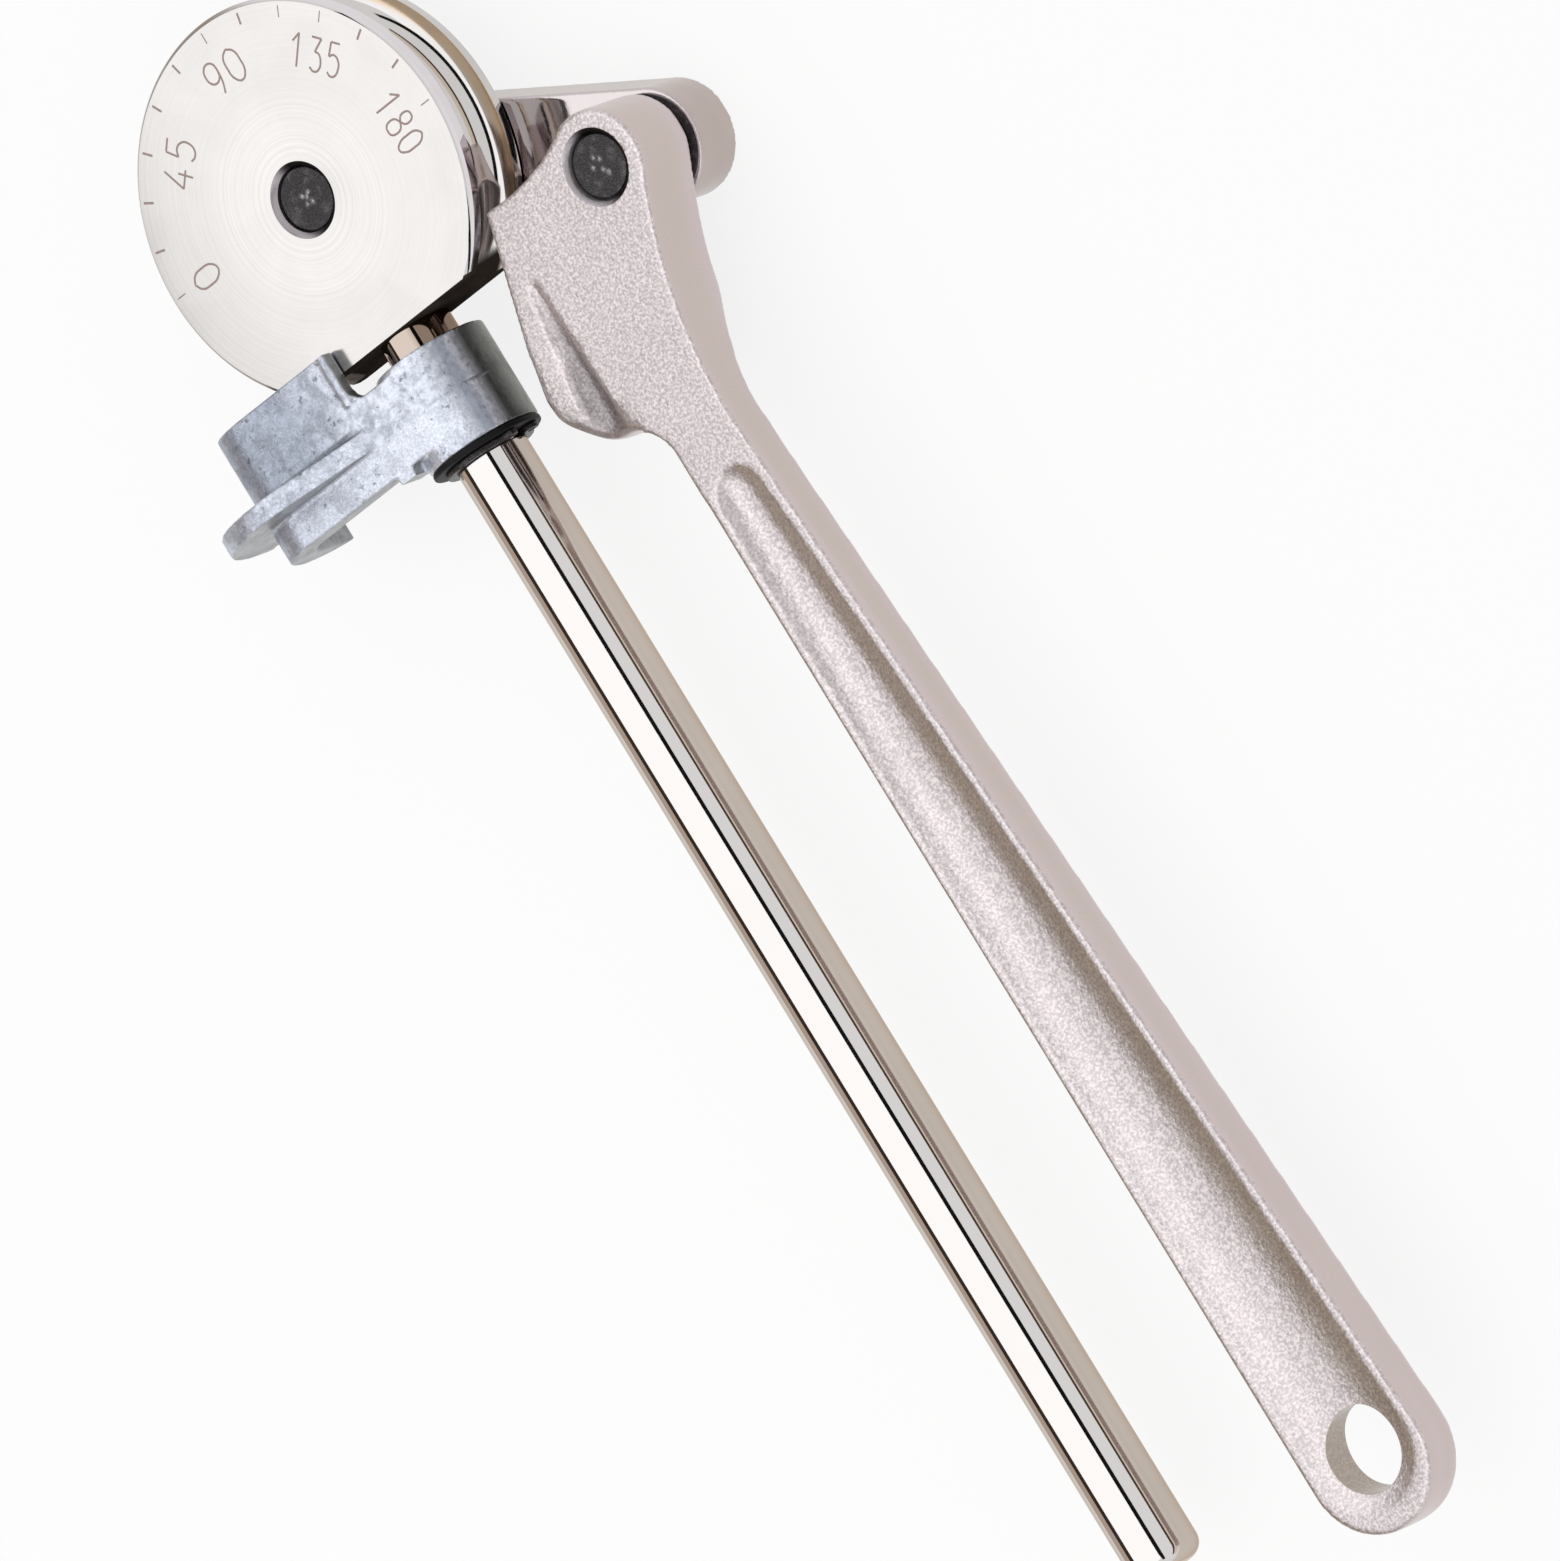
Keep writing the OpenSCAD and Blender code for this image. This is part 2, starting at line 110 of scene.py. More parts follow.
class BenderSizes(bpy.types.PropertyGroup):
    """Sizes of the dressed pieces that a user may change."""

    turned_edge: length("Turned edge", "Rounding of the edges of turned pieces", 0.2, 0.05, 0.6)
    forged_grid: length("Forged grid", "Mesh size of the lever, which also rounds its edges", 0.55, 0.45, 2)
    cast_grid: length("Cast grid", "Mesh size of the hook, which also rounds its edges", 0.4, 0.3, 2)
    rounding: IntProperty(
        name="Rounding passes", description="How often the edges of forged and cast pieces are eased",
        default=5, min=1, max=20)
    groove_r: length("Groove radius", "Radius of the tube's groove", 6.1, 5, 8)
    digit_height: length("Digit height", "Height of the dial's numbers", 6.7, 3, 8)
    digit_ring: length("Number ring", "Radius on which the dial's numbers stand", 28.7, 20, 32)
    stroke: length("Stroke", "Width of the dial's engraved lines", 0.43, 0.1, 1)
    tick_ring: length("Tick ring", "Radius of the outer ends of the dial's ticks", 37.4, 30, 38)
    tick_length: length("Tick length", "Length of the dial's ticks", 2.3, 1, 5)


class BenderColours(bpy.types.PropertyGroup):
    """Colours of the finishes."""

    nickel: tint("Turned nickel", "Colour of the polished former", (0.6, 0.582, 0.57))
    forged: tint("Forged nickel", "Colour of the blasted lever and of the link", (0.57, 0.52, 0.525))
    wall: tint("Forged wall", "Colour of the side walls of the lever and of the link", (0.62, 0.535, 0.5))
    # Painted shade: the colour of the lever where its faces turn to -X, and in its hang hole
    shade: tint("Forged shade", "Colour of the lever's hollows that turn to the left", (0.46, 0.4, 0.35))
    chrome: tint("Chrome", "Colour of the mirror-bright rod", (0.66, 0.64, 0.63))
    zinc: tint("Zinc", "Colour of the cast hook at its saddle", (0.385, 0.42, 0.505))
    # Painted light: the colour that the hook is given beside its boss, on its arm and on the top of its fin
    bright_zinc: tint("Bright zinc", "Colour of the cast hook beside its boss", (0.7, 0.735, 0.83))
    patina: tint("Zinc patina", "Colour of the dull patches of the cast hook", (0.19, 0.215, 0.235))
    steel: tint("Burnished steel", "Colour of the pins and of the circlip", (0.035, 0.032, 0.034))
    rubber: tint("Rubber", "Colour of the ring under the hook", (0.004, 0.004, 0.0045))
    engraving: tint("Engraving", "Colour of the dial's lines", (0.27, 0.205, 0.185))
    floor: tint("Floor", "Colour of the studio floor", (0.93, 0.925, 0.92))


# Shader helpers

def feed(tree, socket, value):
    """Sets an input to a plain value, or links an output to it."""
    if isinstance(value, bpy.types.NodeSocket):
        tree.links.new(value, socket)
    else:
        socket.default_value = value


def add(tree, kind, values=None, **settings):
    """New node with its settings, and with plain or linked values of its inputs."""
    made = tree.nodes.new(kind)
    for name, value in settings.items():
        setattr(made, name, value)
    for name, value in (values or {}).items():
        feed(tree, made.inputs[name], value)
    return made


def worked(tree, operation, *values):
    """Result of a Math node."""
    return add(tree, "ShaderNodeMath", dict(enumerate(values)), operation=operation).outputs[0]


def times(tree, first, *others):
    """Product of masks and numbers."""
    for other in others:
        first = worked(tree, "MULTIPLY", first, other)
    return first


def opposite(tree, mask):
    """One less a mask."""
    return worked(tree, "SUBTRACT", 1.0, mask)


def ranged(tree, mask, low, high):
    """A mask spread over a range of values."""
    return add(tree, "ShaderNodeMapRange", {"Value": mask, "To Min": low, "To Max": high}).outputs["Result"]


def eased(tree, value, low, high):
    """Smooth mask, from 0 at the first limit to 1 at the second."""
    return add(tree, "ShaderNodeMapRange", {"Value": value, "From Min": low, "From Max": high},
               interpolation_type="SMOOTHSTEP").outputs["Result"]


def blend(tree, factor, low, high):
    """Mix of two colours, plain or from nodes, by a mask."""
    mix = add(tree, "ShaderNodeMix", {"Factor": factor}, data_type="RGBA")
    for name, colour in (("A", low), ("B", high)):
        feed(tree, mix.inputs[name], colour if isinstance(colour, bpy.types.NodeSocket) else (*colour, 1))
    return mix.outputs["Result"]


def scaled(colour, by):
    """A colour times a number, no part of it over one."""
    return tuple(min(1.0, part * by) for part in colour)


def toned(tree, mask, colour, low, high):
    """A colour made darker or paler by a mask."""
    return blend(tree, mask, scaled(colour, low), scaled(colour, high))


def part_of(tree, vector, axis):
    """One part of a vector."""
    return add(tree, "ShaderNodeSeparateXYZ", {0: vector}).outputs[axis]


def lean(tree, axis):
    """One part of the piece's own normal, from -1 to 1."""
    return part_of(tree, add(tree, "ShaderNodeTexCoord").outputs["Normal"], axis)


def upright(tree, low, high):
    """Mask of the surfaces that face up or down."""
    return eased(tree, worked(tree, "ABSOLUTE", lean(tree, "Z")), low, high)


def reach(tree, place, at):
    """Distance from an upright axis."""
    level = add(tree, "ShaderNodeMapping",
                {"Vector": place, "Location": (-at[0], -at[1], 0), "Scale": (1, 1, 0)}, vector_type="POINT")
    return add(tree, "ShaderNodeVectorMath", {0: level.outputs[0]}, operation="LENGTH").outputs["Value"]


def group_tree(name, outputs, **defaults):
    """New node group with a vector, named numbers and named masks, and its inputs and outputs."""
    tree = bpy.data.node_groups.new(name, "ShaderNodeTree")
    tree.interface.new_socket("Vector", in_out="INPUT", socket_type="NodeSocketVector")
    for label, default in defaults.items():
        socket = tree.interface.new_socket(label, in_out="INPUT", socket_type="NodeSocketFloat")
        socket.default_value = default
    for label in outputs:
        tree.interface.new_socket(label, in_out="OUTPUT", socket_type="NodeSocketFloat")
    return tree, tree.nodes.new("NodeGroupInput").outputs, tree.nodes.new("NodeGroupOutput").inputs


def grain_group(name):
    """Even fine grain of a blasted or cast skin: a height, and specks for colour."""
    tree, start, end = group_tree(name, ("Height", "Specks"), Size=0.001)
    scale = worked(tree, "DIVIDE", 1.0, start["Size"])
    finer = worked(tree, "MULTIPLY", scale, 2.3)
    for factor, label, low, high in ((scale, "Height", 0.3, 0.7), (finer, "Specks", 0.41, 0.62)):
        noise = add(tree, "ShaderNodeTexNoise",
                    {"Vector": start["Vector"], "Scale": factor, "Detail": 2.0, "Roughness": 0.6})
        spread = add(tree, "ShaderNodeMapRange",
                     {"Value": noise.outputs["Fac"], "From Min": low, "From Max": high})
        tree.links.new(spread.outputs["Result"], end[label])
    return tree


def blotch_group(name):
    """Soft irregular patches, such as patina and handling marks, as a mask."""
    tree, start, end = group_tree(name, ("Mask",), Size=0.01, Start=0.5, Full=0.7)
    noise = add(tree, "ShaderNodeTexNoise",
                {"Vector": start["Vector"], "Scale": worked(tree, "DIVIDE", 1.0, start["Size"]),
                 "Detail": 7.0, "Roughness": 0.62, "Distortion": 0.5})
    tree.links.new(eased(tree, noise.outputs["Fac"], start["Start"], start["Full"]), end["Mask"])
    return tree


def ring_group(name):
    """Fine rings round the Z axis, as a lathe leaves them."""
    tree, start, end = group_tree(name, ("Rings",), Pitch=0.0005)
    turns = worked(tree, "DIVIDE", reach(tree, start["Vector"], (0, 0)), start["Pitch"])
    noise = add(tree, "ShaderNodeTexNoise", {"W": turns, "Scale": 1.0, "Detail": 3.0, "Roughness": 0.7},
                noise_dimensions="1D")
    spread = add(tree, "ShaderNodeMapRange",
                 {"Value": noise.outputs["Fac"], "From Min": 0.3, "From Max": 0.7})
    tree.links.new(spread.outputs["Result"], end["Rings"])
    return tree


GROUPS = {"Grain": grain_group, "Blotches": blotch_group, "TurningMarks": ring_group}


def use(tree, name, place, **values):
    """A shared group, built the first time that it is asked for, placed in a tree with its own values."""
    made = bpy.data.node_groups.get(name) or GROUPS[name](name)
    return add(tree, "ShaderNodeGroup", {"Vector": place, **values}, node_tree=made)


def bare_material(name):
    """New material with an empty tree, and that tree."""
    material = bpy.data.materials.new(name)
    material.use_nodes = True
    material.node_tree.nodes.clear()
    return material, material.node_tree


def finish(name, metallic):
    """New material with a Principled shader, its tree and its Object coordinates."""
    material, tree = bare_material(name)
    shader = add(tree, "ShaderNodeBsdfPrincipled", {"Metallic": metallic})
    add(tree, "ShaderNodeOutputMaterial", {"Surface": shader.outputs[0]})
    place = add(tree, "ShaderNodeTexCoord").outputs["Object"]
    return material, tree, shader, place


def dress(tree, shader, colour, rough):
    """Feeds the shader's colour and roughness."""
    feed(tree, shader.inputs["Base Color"], colour)
    feed(tree, shader.inputs["Roughness"], rough)


def bump(tree, shader, height, strength, distance):
    """Relief on the shader's normal."""
    relief = add(tree, "ShaderNodeBump", {"Height": height, "Strength": strength, "Distance": distance})
    tree.links.new(relief.outputs["Normal"], shader.inputs["Normal"])


# Finishes

def polished_former(colours):
    """Turned nickel with rings round its pin; painted reflections at its rim, dark brown on the chamfer that
    turns to -X, tan on the groove's back flank, pale on the front land that turns to +X and black at the flat
    and in the groove beside it; painted shade towards -X on its face, and painted light and shade in its
    countersink.
    """
    material, tree, shader, place = finish("polished_former", 1.0)
    smears = use(tree, "Blotches", place, Size=17 * MM, Start=0.35, Full=0.7).outputs["Mask"]
    across, along, height = (part_of(tree, place, axis) for axis in "XYZ")
    away, tilt, flat = reach(tree, place, (0, 0)), lean(tree, "X"), upright(tree, 0.9, 0.98)
    wall = opposite(tree, flat)

    rings = use(tree, "TurningMarks", place, Pitch=0.7 * MM).outputs["Rings"]
    near = ranged(tree, eased(tree, away, 16 * MM, 24 * MM), 1.0, 0.3)
    marks = times(tree, rings, near, flat)
    # Painted shade: the face is darker towards -X
    plain = blend(tree, eased(tree, across, -36 * MM, -8 * MM),
                  toned(tree, smears, colours.nickel, 0.88, 0.84),
                  toned(tree, smears, colours.nickel, 1.0, 0.95))
    skin = blend(tree, marks, plain, toned(tree, smears, colours.nickel, 1.1, 1.05))

    # Painted reflection: a dark brown band on the rim chamfer where it turns to -X
    chamfer = times(tree, upright(tree, 0.4, 0.6), opposite(tree, upright(tree, 0.8, 0.9)),
                    eased(tree, away, 37.8 * MM, 38.1 * MM), eased(tree, tilt, 0.3, 0.0))
    chamfer_reflected = blend(tree, chamfer, skin, blend(tree, smears, *DARK_CHAMFER_REFLECTION))
    # Painted reflection: a tan band on the back flank of the groove
    back_flank = times(tree, eased(tree, height, BACK_Z + 2.8 * MM, BACK_Z + 2.9 * MM),
                       eased(tree, height, AXIS_Z + MM, AXIS_Z), eased(tree, away, 36.4 * MM, 37.4 * MM))
    tan_reflected = blend(tree, back_flank, chamfer_reflected, blend(tree, smears, *TAN_FLANK_REFLECTION))
    # Painted reflection: a pale band on the front land where it turns to +X
    front_land = times(tree, eased(tree, away, 38.3 * MM, 38.6 * MM),
                       eased(tree, height, FACE_Z - 3.2 * MM, FACE_Z - 2.8 * MM), wall,
                       eased(tree, tilt, 0.1, 0.4))
    land_reflected = blend(tree, front_land, tan_reflected, blend(tree, smears, *PALE_LAND_REFLECTION))

    # Painted reflection: the flat and the groove beside it are black, standing for dark surroundings mirrored
    # there
    on_flat = times(tree, eased(tree, along, FORMER_LOW.y + 0.4 * MM, FORMER_LOW.y + 0.3 * MM), wall)
    off_middle = worked(tree, "ABSOLUTE", worked(tree, "SUBTRACT", height, AXIS_Z))
    in_groove = times(tree, eased(tree, along, FORMER_LOW.y + 4.5 * MM, FORMER_LOW.y + 2.5 * MM), wall,
                      eased(tree, away, 30 * MM, 31 * MM), eased(tree, off_middle, 8.2 * MM, 7.6 * MM))
    dark = worked(tree, "MAXIMUM", on_flat, in_groove)
    flat_reflected = blend(tree, dark, land_reflected, blend(tree, smears, *DARK_FLAT_REFLECTION))

    # Painted light and shade in the countersink round the pin: pale where it turns to +X, black elsewhere
    collar = times(tree, wall, eased(tree, away, 7.7 * MM, 7.55 * MM))
    sink_lit_and_shaded = blend(tree, eased(tree, tilt, -0.15, 0.35), *FORMER_SINK_LIGHT_AND_SHADE)
    dress(tree, shader, blend(tree, collar, flat_reflected, sink_lit_and_shaded),
          worked(tree, "MULTIPLY_ADD", collar, 0.25, ranged(tree, flat, 0.055, 0.17)))
    # The painted black reflection at the flat is not metallic
    feed(tree, shader.inputs["Metallic"], opposite(tree, dark))
    shader.inputs["Specular IOR Level"].default_value = 0.0
    bump(tree, shader, marks, strength=0.16, distance=0.02 * MM)
    return material


def blasted_forging(colours):
    """Nickel over a blasted forging: grainy faces and smooth drawn walls, with a painted highlight where the
    faces turn to +X, painted shade where they turn to -X, in the shoe's crease and low end and in the hang
    hole, and painted light and shade in the countersink.
    """
    material, tree, shader, place = finish("blasted_forging", 1.0)
    # The forged shade colour is painted shade, put where faces turn to -X and in the hang hole
    forged, hollows, wall = colours.forged, colours.shade, colours.wall
    grain = use(tree, "Grain", place, Size=1.35 * MM).outputs
    specks = grain["Specks"]
    patches = use(tree, "Blotches", place, Size=22 * MM, Start=0.35, Full=0.75).outputs["Mask"]
    across, along, height = (part_of(tree, place, axis) for axis in "XYZ")
    flat, tilt = upright(tree, 0.25, 0.6), lean(tree, "X")

    on_shoe = times(tree, eased(tree, across, LEVER_AT.x - 8 * MM, LEVER_AT.x - 11 * MM),
                    eased(tree, along, LEVER_AT.y - 58 * MM, LEVER_AT.y - 54 * MM))
    # Painted highlight where the faces turn to +X, and painted shade where they turn to -X, less of it on the
    # shoe
    highlit_right = blend(tree, eased(tree, tilt, 0.05, 0.3),
                toned(tree, specks, forged, 0.74, 1.16), toned(tree, specks, forged, 0.95, 1.33))
    to_left = times(tree, eased(tree, tilt, -0.03, -0.4), ranged(tree, on_shoe, 1.0, 0.1))
    turned_away = blend(tree, to_left, highlit_right, toned(tree, specks, hollows, 0.8, 1.2))
    # Painted shade: the shoe is darker in its crease, below the face
    crease = times(tree, on_shoe, eased(tree, height, FACE_Z - 0.55 * MM, FACE_Z - 1.5 * MM))
    crease_shaded = blend(tree, crease, turned_away, toned(tree, specks, forged, 0.4, 0.64))
    # Painted shade on the shoe's low end, where it turns to -Y
    end_shade_mask = times(tree, on_shoe, eased(tree, lean(tree, "Y"), -0.15, -0.4),
                    eased(tree, along, LEVER_AT.y - 28 * MM, LEVER_AT.y - 31 * MM))
    shaded = blend(tree, end_shade_mask, crease_shaded, toned(tree, specks, forged, 0.62, 0.84))

    drawn = add(tree, "ShaderNodeMapping", {"Vector": place, "Scale": (0.05, 0.02, 1)}, vector_type="POINT")
    bands = add(tree, "ShaderNodeTexNoise", {"Vector": drawn.outputs[0], "Scale": 170.0, "Detail": 1.0})
    side = blend(tree, eased(tree, bands.outputs["Fac"], 0.36, 0.64), scaled(wall, 0.94),
                 (wall[0], wall[1], wall[0] * 0.86))
    skin = blend(tree, flat, side, shaded)

    # Painted shade inside the hang hole
    in_hang_hole = eased(tree, reach(tree, place, HANG_AT), 8.65 * MM, 8.55 * MM)
    hole_shaded = blend(tree, in_hang_hole, skin, toned(tree, specks, hollows, 0.8, 1.0))
    # Painted light and shade in the countersink round the pin: pale where it turns to +X, black elsewhere
    collar = eased(tree, reach(tree, place, LEVER_AT), 7.62 * MM, 7.5 * MM)
    sink_lit_and_shaded = blend(tree, eased(tree, tilt, -0.15, 0.35), *LEVER_SINK_LIGHT_AND_SHADE)
    dress(tree, shader, blend(tree, collar, hole_shaded, sink_lit_and_shaded),
          worked(tree, "MULTIPLY_ADD", patches, 0.08, ranged(tree, flat, 0.26, 0.38)))
    relief = times(tree, grain["Height"], ranged(tree, flat, 0.1, 1.0))
    bump(tree, shader, relief, strength=0.6, distance=0.13 * MM)
    return material


def plated_link(colours):
    """Smooth nickel plate, bright on the faces and duller on the sides."""
    material, tree, shader, place = finish("plated_link", 1.0)
    grain = use(tree, "Grain", place, Size=0.9 * MM).outputs
    patches = use(tree, "Blotches", place, Size=16 * MM, Start=0.35, Full=0.75).outputs["Mask"]
    colour = blend(tree, upright(tree, 0.3, 0.6), toned(tree, patches, colours.wall, 0.79, 0.86),
                   toned(tree, patches, colours.forged, 0.96, 1.05))
    dress(tree, shader, colour, ranged(tree, upright(tree, 0.9, 0.98), 0.24, 0.07))
    bump(tree, shader, grain["Height"], strength=0.05, distance=0.04 * MM)
    return material


def mirror_chrome(colours):
    """Mirror chrome, with a painted warm reflection where it turns away from the top and a painted gold and
    dark brown reflection at the neck over the hook.
    """
    material, tree, shader, place = finish("mirror_chrome", 1.0)
    patches = use(tree, "Blotches", place, Size=30 * MM, Start=0.3, Full=0.8).outputs["Mask"]
    # Painted reflection: warm beige where the rod turns away from the top, standing for the mirrored floor
    underside_reflected = blend(tree, eased(tree, lean(tree, "Z"), 0.46, 0.38),
                  toned(tree, patches, colours.chrome, 0.985, 1.0), blend(tree, patches, *ROD_UNDERSIDE_REFLECTION))
    # Painted reflection at the neck over the hook: gold, and dark brown where it turns to +X
    neck = eased(tree, part_of(tree, place, "Y"), HOOK_BOSS_TOP - 0.5 * MM, HOOK_BOSS_TOP + 0.3 * MM)
    neck_reflection = blend(tree, eased(tree, lean(tree, "X"), 0.35, 0.65), *ROD_NECK_REFLECTION)
    dress(tree, shader, blend(tree, neck, underside_reflected, neck_reflection), ranged(tree, patches, 0.03, 0.06))
    shader.inputs["Specular Tint"].default_value = (0.75, 0.66, 0.58, 1)
    return material


def die_casting(colours):
    """Bare zinc, mottled and pitted, with painted light beside the boss, on its arm and on the top of its fin,
    a painted shadow at the fin's foot, painted shade on its upright walls and on the side of the boss that
    turns away from the face, and a painted reflection band across the boss.
    """
    material, tree, shader, place = finish("die_casting", 0.75)
    zinc, bright, patina = colours.zinc, colours.bright_zinc, colours.patina
    grain = use(tree, "Grain", place, Size=1.2 * MM).outputs
    fine = grain["Specks"]
    patches, flow, pits = (
        use(tree, "Blotches", place, Size=size * MM, Start=start, Full=full).outputs["Mask"]
        for size, start, full in ((5, 0.44, 0.66), (2.2, 0.42, 0.68), (1.4, 0.57, 0.7)))
    across, along, height = (part_of(tree, place, axis) for axis in "XYZ")

    # Painted light: the hook grows paler from its saddle towards the boss
    boss_lit = blend(tree, eased(tree, across, -31 * MM, -9 * MM),
                  toned(tree, fine, zinc, 0.86, 1.1), toned(tree, fine, bright, 0.93, 1.06))
    on_arm = times(tree, eased(tree, along, FIN_Y + 0.2 * MM, FIN_Y - 0.2 * MM),
                   eased(tree, across, -48 * MM, -38 * MM))
    on_fin = eased(tree, height, SADDLE_Z + 0.6 * MM, SADDLE_Z + 1.2 * MM)
    # Painted light: the arm and the top of the fin are paler
    pale = toned(tree, fine, bright, 0.82, 1.08)
    lifted = blend(tree, times(tree, on_arm, 0.75), blend(tree, times(tree, on_fin, 0.65), boss_lit, pale), pale)
    # Painted shadow: a dark line on the saddle at the foot of the fin
    foot = times(tree, eased(tree, along, FIN_Y + 5.9 * MM, FIN_Y + 5.2 * MM), opposite(tree, on_arm),
                 eased(tree, along, FIN_Y + 3.6 * MM, FIN_Y + 3.9 * MM), opposite(tree, on_fin),
                 eased(tree, across, -14 * MM, -19 * MM))
    fin_foot_shadowed = blend(tree, foot, lifted, toned(tree, fine, zinc, 0.3, 0.5))
    dull = blend(tree, times(tree, patches, ranged(tree, on_arm, 0.62, 0.25)), fin_foot_shadowed,
                 toned(tree, fine, zinc, 0.62, 0.85))
    mottled = blend(tree, times(tree, flow, ranged(tree, on_arm, 0.5, 0.2)), dull,
                    toned(tree, patches, patina, 1.0, 1.2))
    pitted = blend(tree, times(tree, pits, 0.75), mottled, toned(tree, pits, patina, 1.0, 0.35))
    # Painted shade: surfaces that stand upright are darker
    wall_shaded = blend(tree, upright(tree, 0.55, 0.25), pitted, blend(tree, flow, *CAST_WALL_SHADE))

    # Painted reflection: a darker band across the boss, where its normal leans between the face and the side
    on_boss, turn = eased(tree, across, 2.5 * MM, 4.5 * MM), lean(tree, "Z")
    boss_band_reflection = times(tree, eased(tree, turn, 0.52, 0.64), eased(tree, turn, 0.82, 0.7), on_boss)
    band_reflected = blend(tree, boss_band_reflection, wall_shaded, toned(tree, flow, zinc, 0.9, 0.65))
    # Painted shade: the side of the boss that turns away from the face is a mottled dark greenish grey
    side_shade = blend(tree, eased(tree, turn, 0.2, -0.25), *OLIVE_SIDE_SHADE)
    dark_side = blend(tree, times(tree, flow, 0.45), side_shade, blend(tree, flow, *OLIVE_SHADE_FLOW))
    colour = blend(tree, times(tree, eased(tree, turn, 0.42, 0.26), on_boss), band_reflected, dark_side)
    dress(tree, shader, colour, ranged(tree, patches, 0.34, 0.5))
    bump(tree, shader, grain["Height"], strength=0.45, distance=0.1 * MM)
    return material


def burnished_steel(colours):
    """Dark scuffed steel, bright where a punch struck it."""
    material, tree, shader, place = finish("burnished_steel", 0.8)
    grain = use(tree, "Grain", place, Size=0.7 * MM).outputs
    specks = grain["Specks"]
    scuffs = use(tree, "Blotches", place, Size=2.4 * MM, Start=0.48, Full=0.7).outputs["Mask"]
    scuffed = blend(tree, scuffs, toned(tree, specks, colours.steel, 0.5, 1.8),
                    toned(tree, specks, colours.steel, 1.6, 3.6))
    struck = add(tree, "ShaderNodeAttribute", attribute_name="struck").outputs["Fac"]
    colour = blend(tree, struck, scuffed, blend(tree, specks, *STRUCK_STEEL))
    dress(tree, shader, colour, ranged(tree, specks, 0.3, 0.48))
    bump(tree, shader, grain["Height"], strength=0.25, distance=0.06 * MM)
    return material


def matt_rubber(colours):
    """Black rubber with a fine dull grain."""
    material, tree, shader, place = finish("matt_rubber", 0.0)
    grain = use(tree, "Grain", place, Size=0.4 * MM).outputs
    dress(tree, shader, toned(tree, grain["Specks"], colours.rubber, 1.0, 1.8),
          ranged(tree, grain["Specks"], 0.45, 0.6))
    shader.inputs["Specular IOR Level"].default_value = 0.15
    bump(tree, shader, grain["Height"], strength=0.2, distance=0.04 * MM)
    return material


def engraved_line(colours):
    """Dull brown of a filled engraving."""
    material, tree, shader, place = finish("engraved_line", 0.5)
    specks = use(tree, "Grain", place, Size=0.5 * MM).outputs["Specks"]
    dress(tree, shader, toned(tree, specks, colours.engraving, 1.0, 1.5), ranged(tree, specks, 0.45, 0.6))
    return material


FINISHES = {make.__name__: make for make in (
    polished_former, blasted_forging, plated_link, mirror_chrome, die_casting, burnished_steel, matt_rubber,
    engraved_line)}


def material_of(name):
    """The finish of that name, made the first time that it is asked for."""
    return bpy.data.materials.get(name) or FINISHES[name](bpy.context.scene.bender_colours)


# Mesh helpers

def towards(degrees):
    """Plan direction of an angle from +X."""
    return Vector((math.cos(math.radians(degrees)), math.sin(math.radians(degrees))))


def angle_of(vector):
    """Angle of a plan direction from +X, in degrees."""
    return math.degrees(math.atan2(vector.y, vector.x))


def aimed(vector):
    """Turn that brings the Z axis into a direction."""
    return vector.to_track_quat("Z", "Y").to_matrix().to_4x4()


def arc(centre, radius, start, stop, steps):
    """Plan points on an arc, from one angle to another, in degrees."""
    angles = [math.radians(start + (stop - start) * i / steps) for i in range(steps + 1)]
    return [Vector((centre[0] + radius * math.cos(a), centre[1] + radius * math.sin(a))) for a in angles]


def turned(points, steps, closed=False):
    """Bmesh of a profile of radius and height, turned about the Z axis."""
    bm = bmesh.new()
    verts = [bm.verts.new((p[0], 0, p[1])) for p in points]
    edges = [bm.edges.new(pair) for pair in zip(verts, verts[1:])]
    if closed:
        edges.append(bm.edges.new((verts[-1], verts[0])))
    bmesh.ops.spin(bm, geom=verts + edges, cent=(0, 0, 0), axis=(0, 0, 1), dvec=(0, 0, 0),
                   angle=2 * math.pi, steps=steps, use_merge=True, use_duplicate=False)
    bmesh.ops.remove_doubles(bm, verts=bm.verts, dist=MERGE)
    bmesh.ops.recalc_face_normals(bm, faces=bm.faces)
    return bm


def prism(points, height):
    """Bmesh of a plan outline, drawn up along Z from zero."""
    bm = bmesh.new()
    face = bm.faces.new([bm.verts.new((p[0], p[1], 0)) for p in points])
    top = bmesh.ops.extrude_face_region(bm, geom=[face])
    bmesh.ops.translate(bm, verts=[v for v in top["geom"] if isinstance(v, bmesh.types.BMVert)],
                        vec=(0, 0, height))
    bmesh.ops.recalc_face_normals(bm, faces=bm.faces)
    return bm


def moved(bm, matrix):
    """The same bmesh, moved by a matrix."""
    bmesh.ops.transform(bm, matrix=matrix, verts=bm.verts)
    return bm


def ease_edges(bm, width, segments=2):
    """Bevels every sharp edge."""
    sharp_turn = math.radians(28)
    sharp = [e for e in bm.edges if e.is_manifold and e.calc_face_angle() > sharp_turn]
    bmesh.ops.bevel(bm, geom=sharp, offset=width, offset_type="OFFSET", affect="EDGES",
                    segments=segments, profile=0.5, material=-1, clamp_overlap=True)


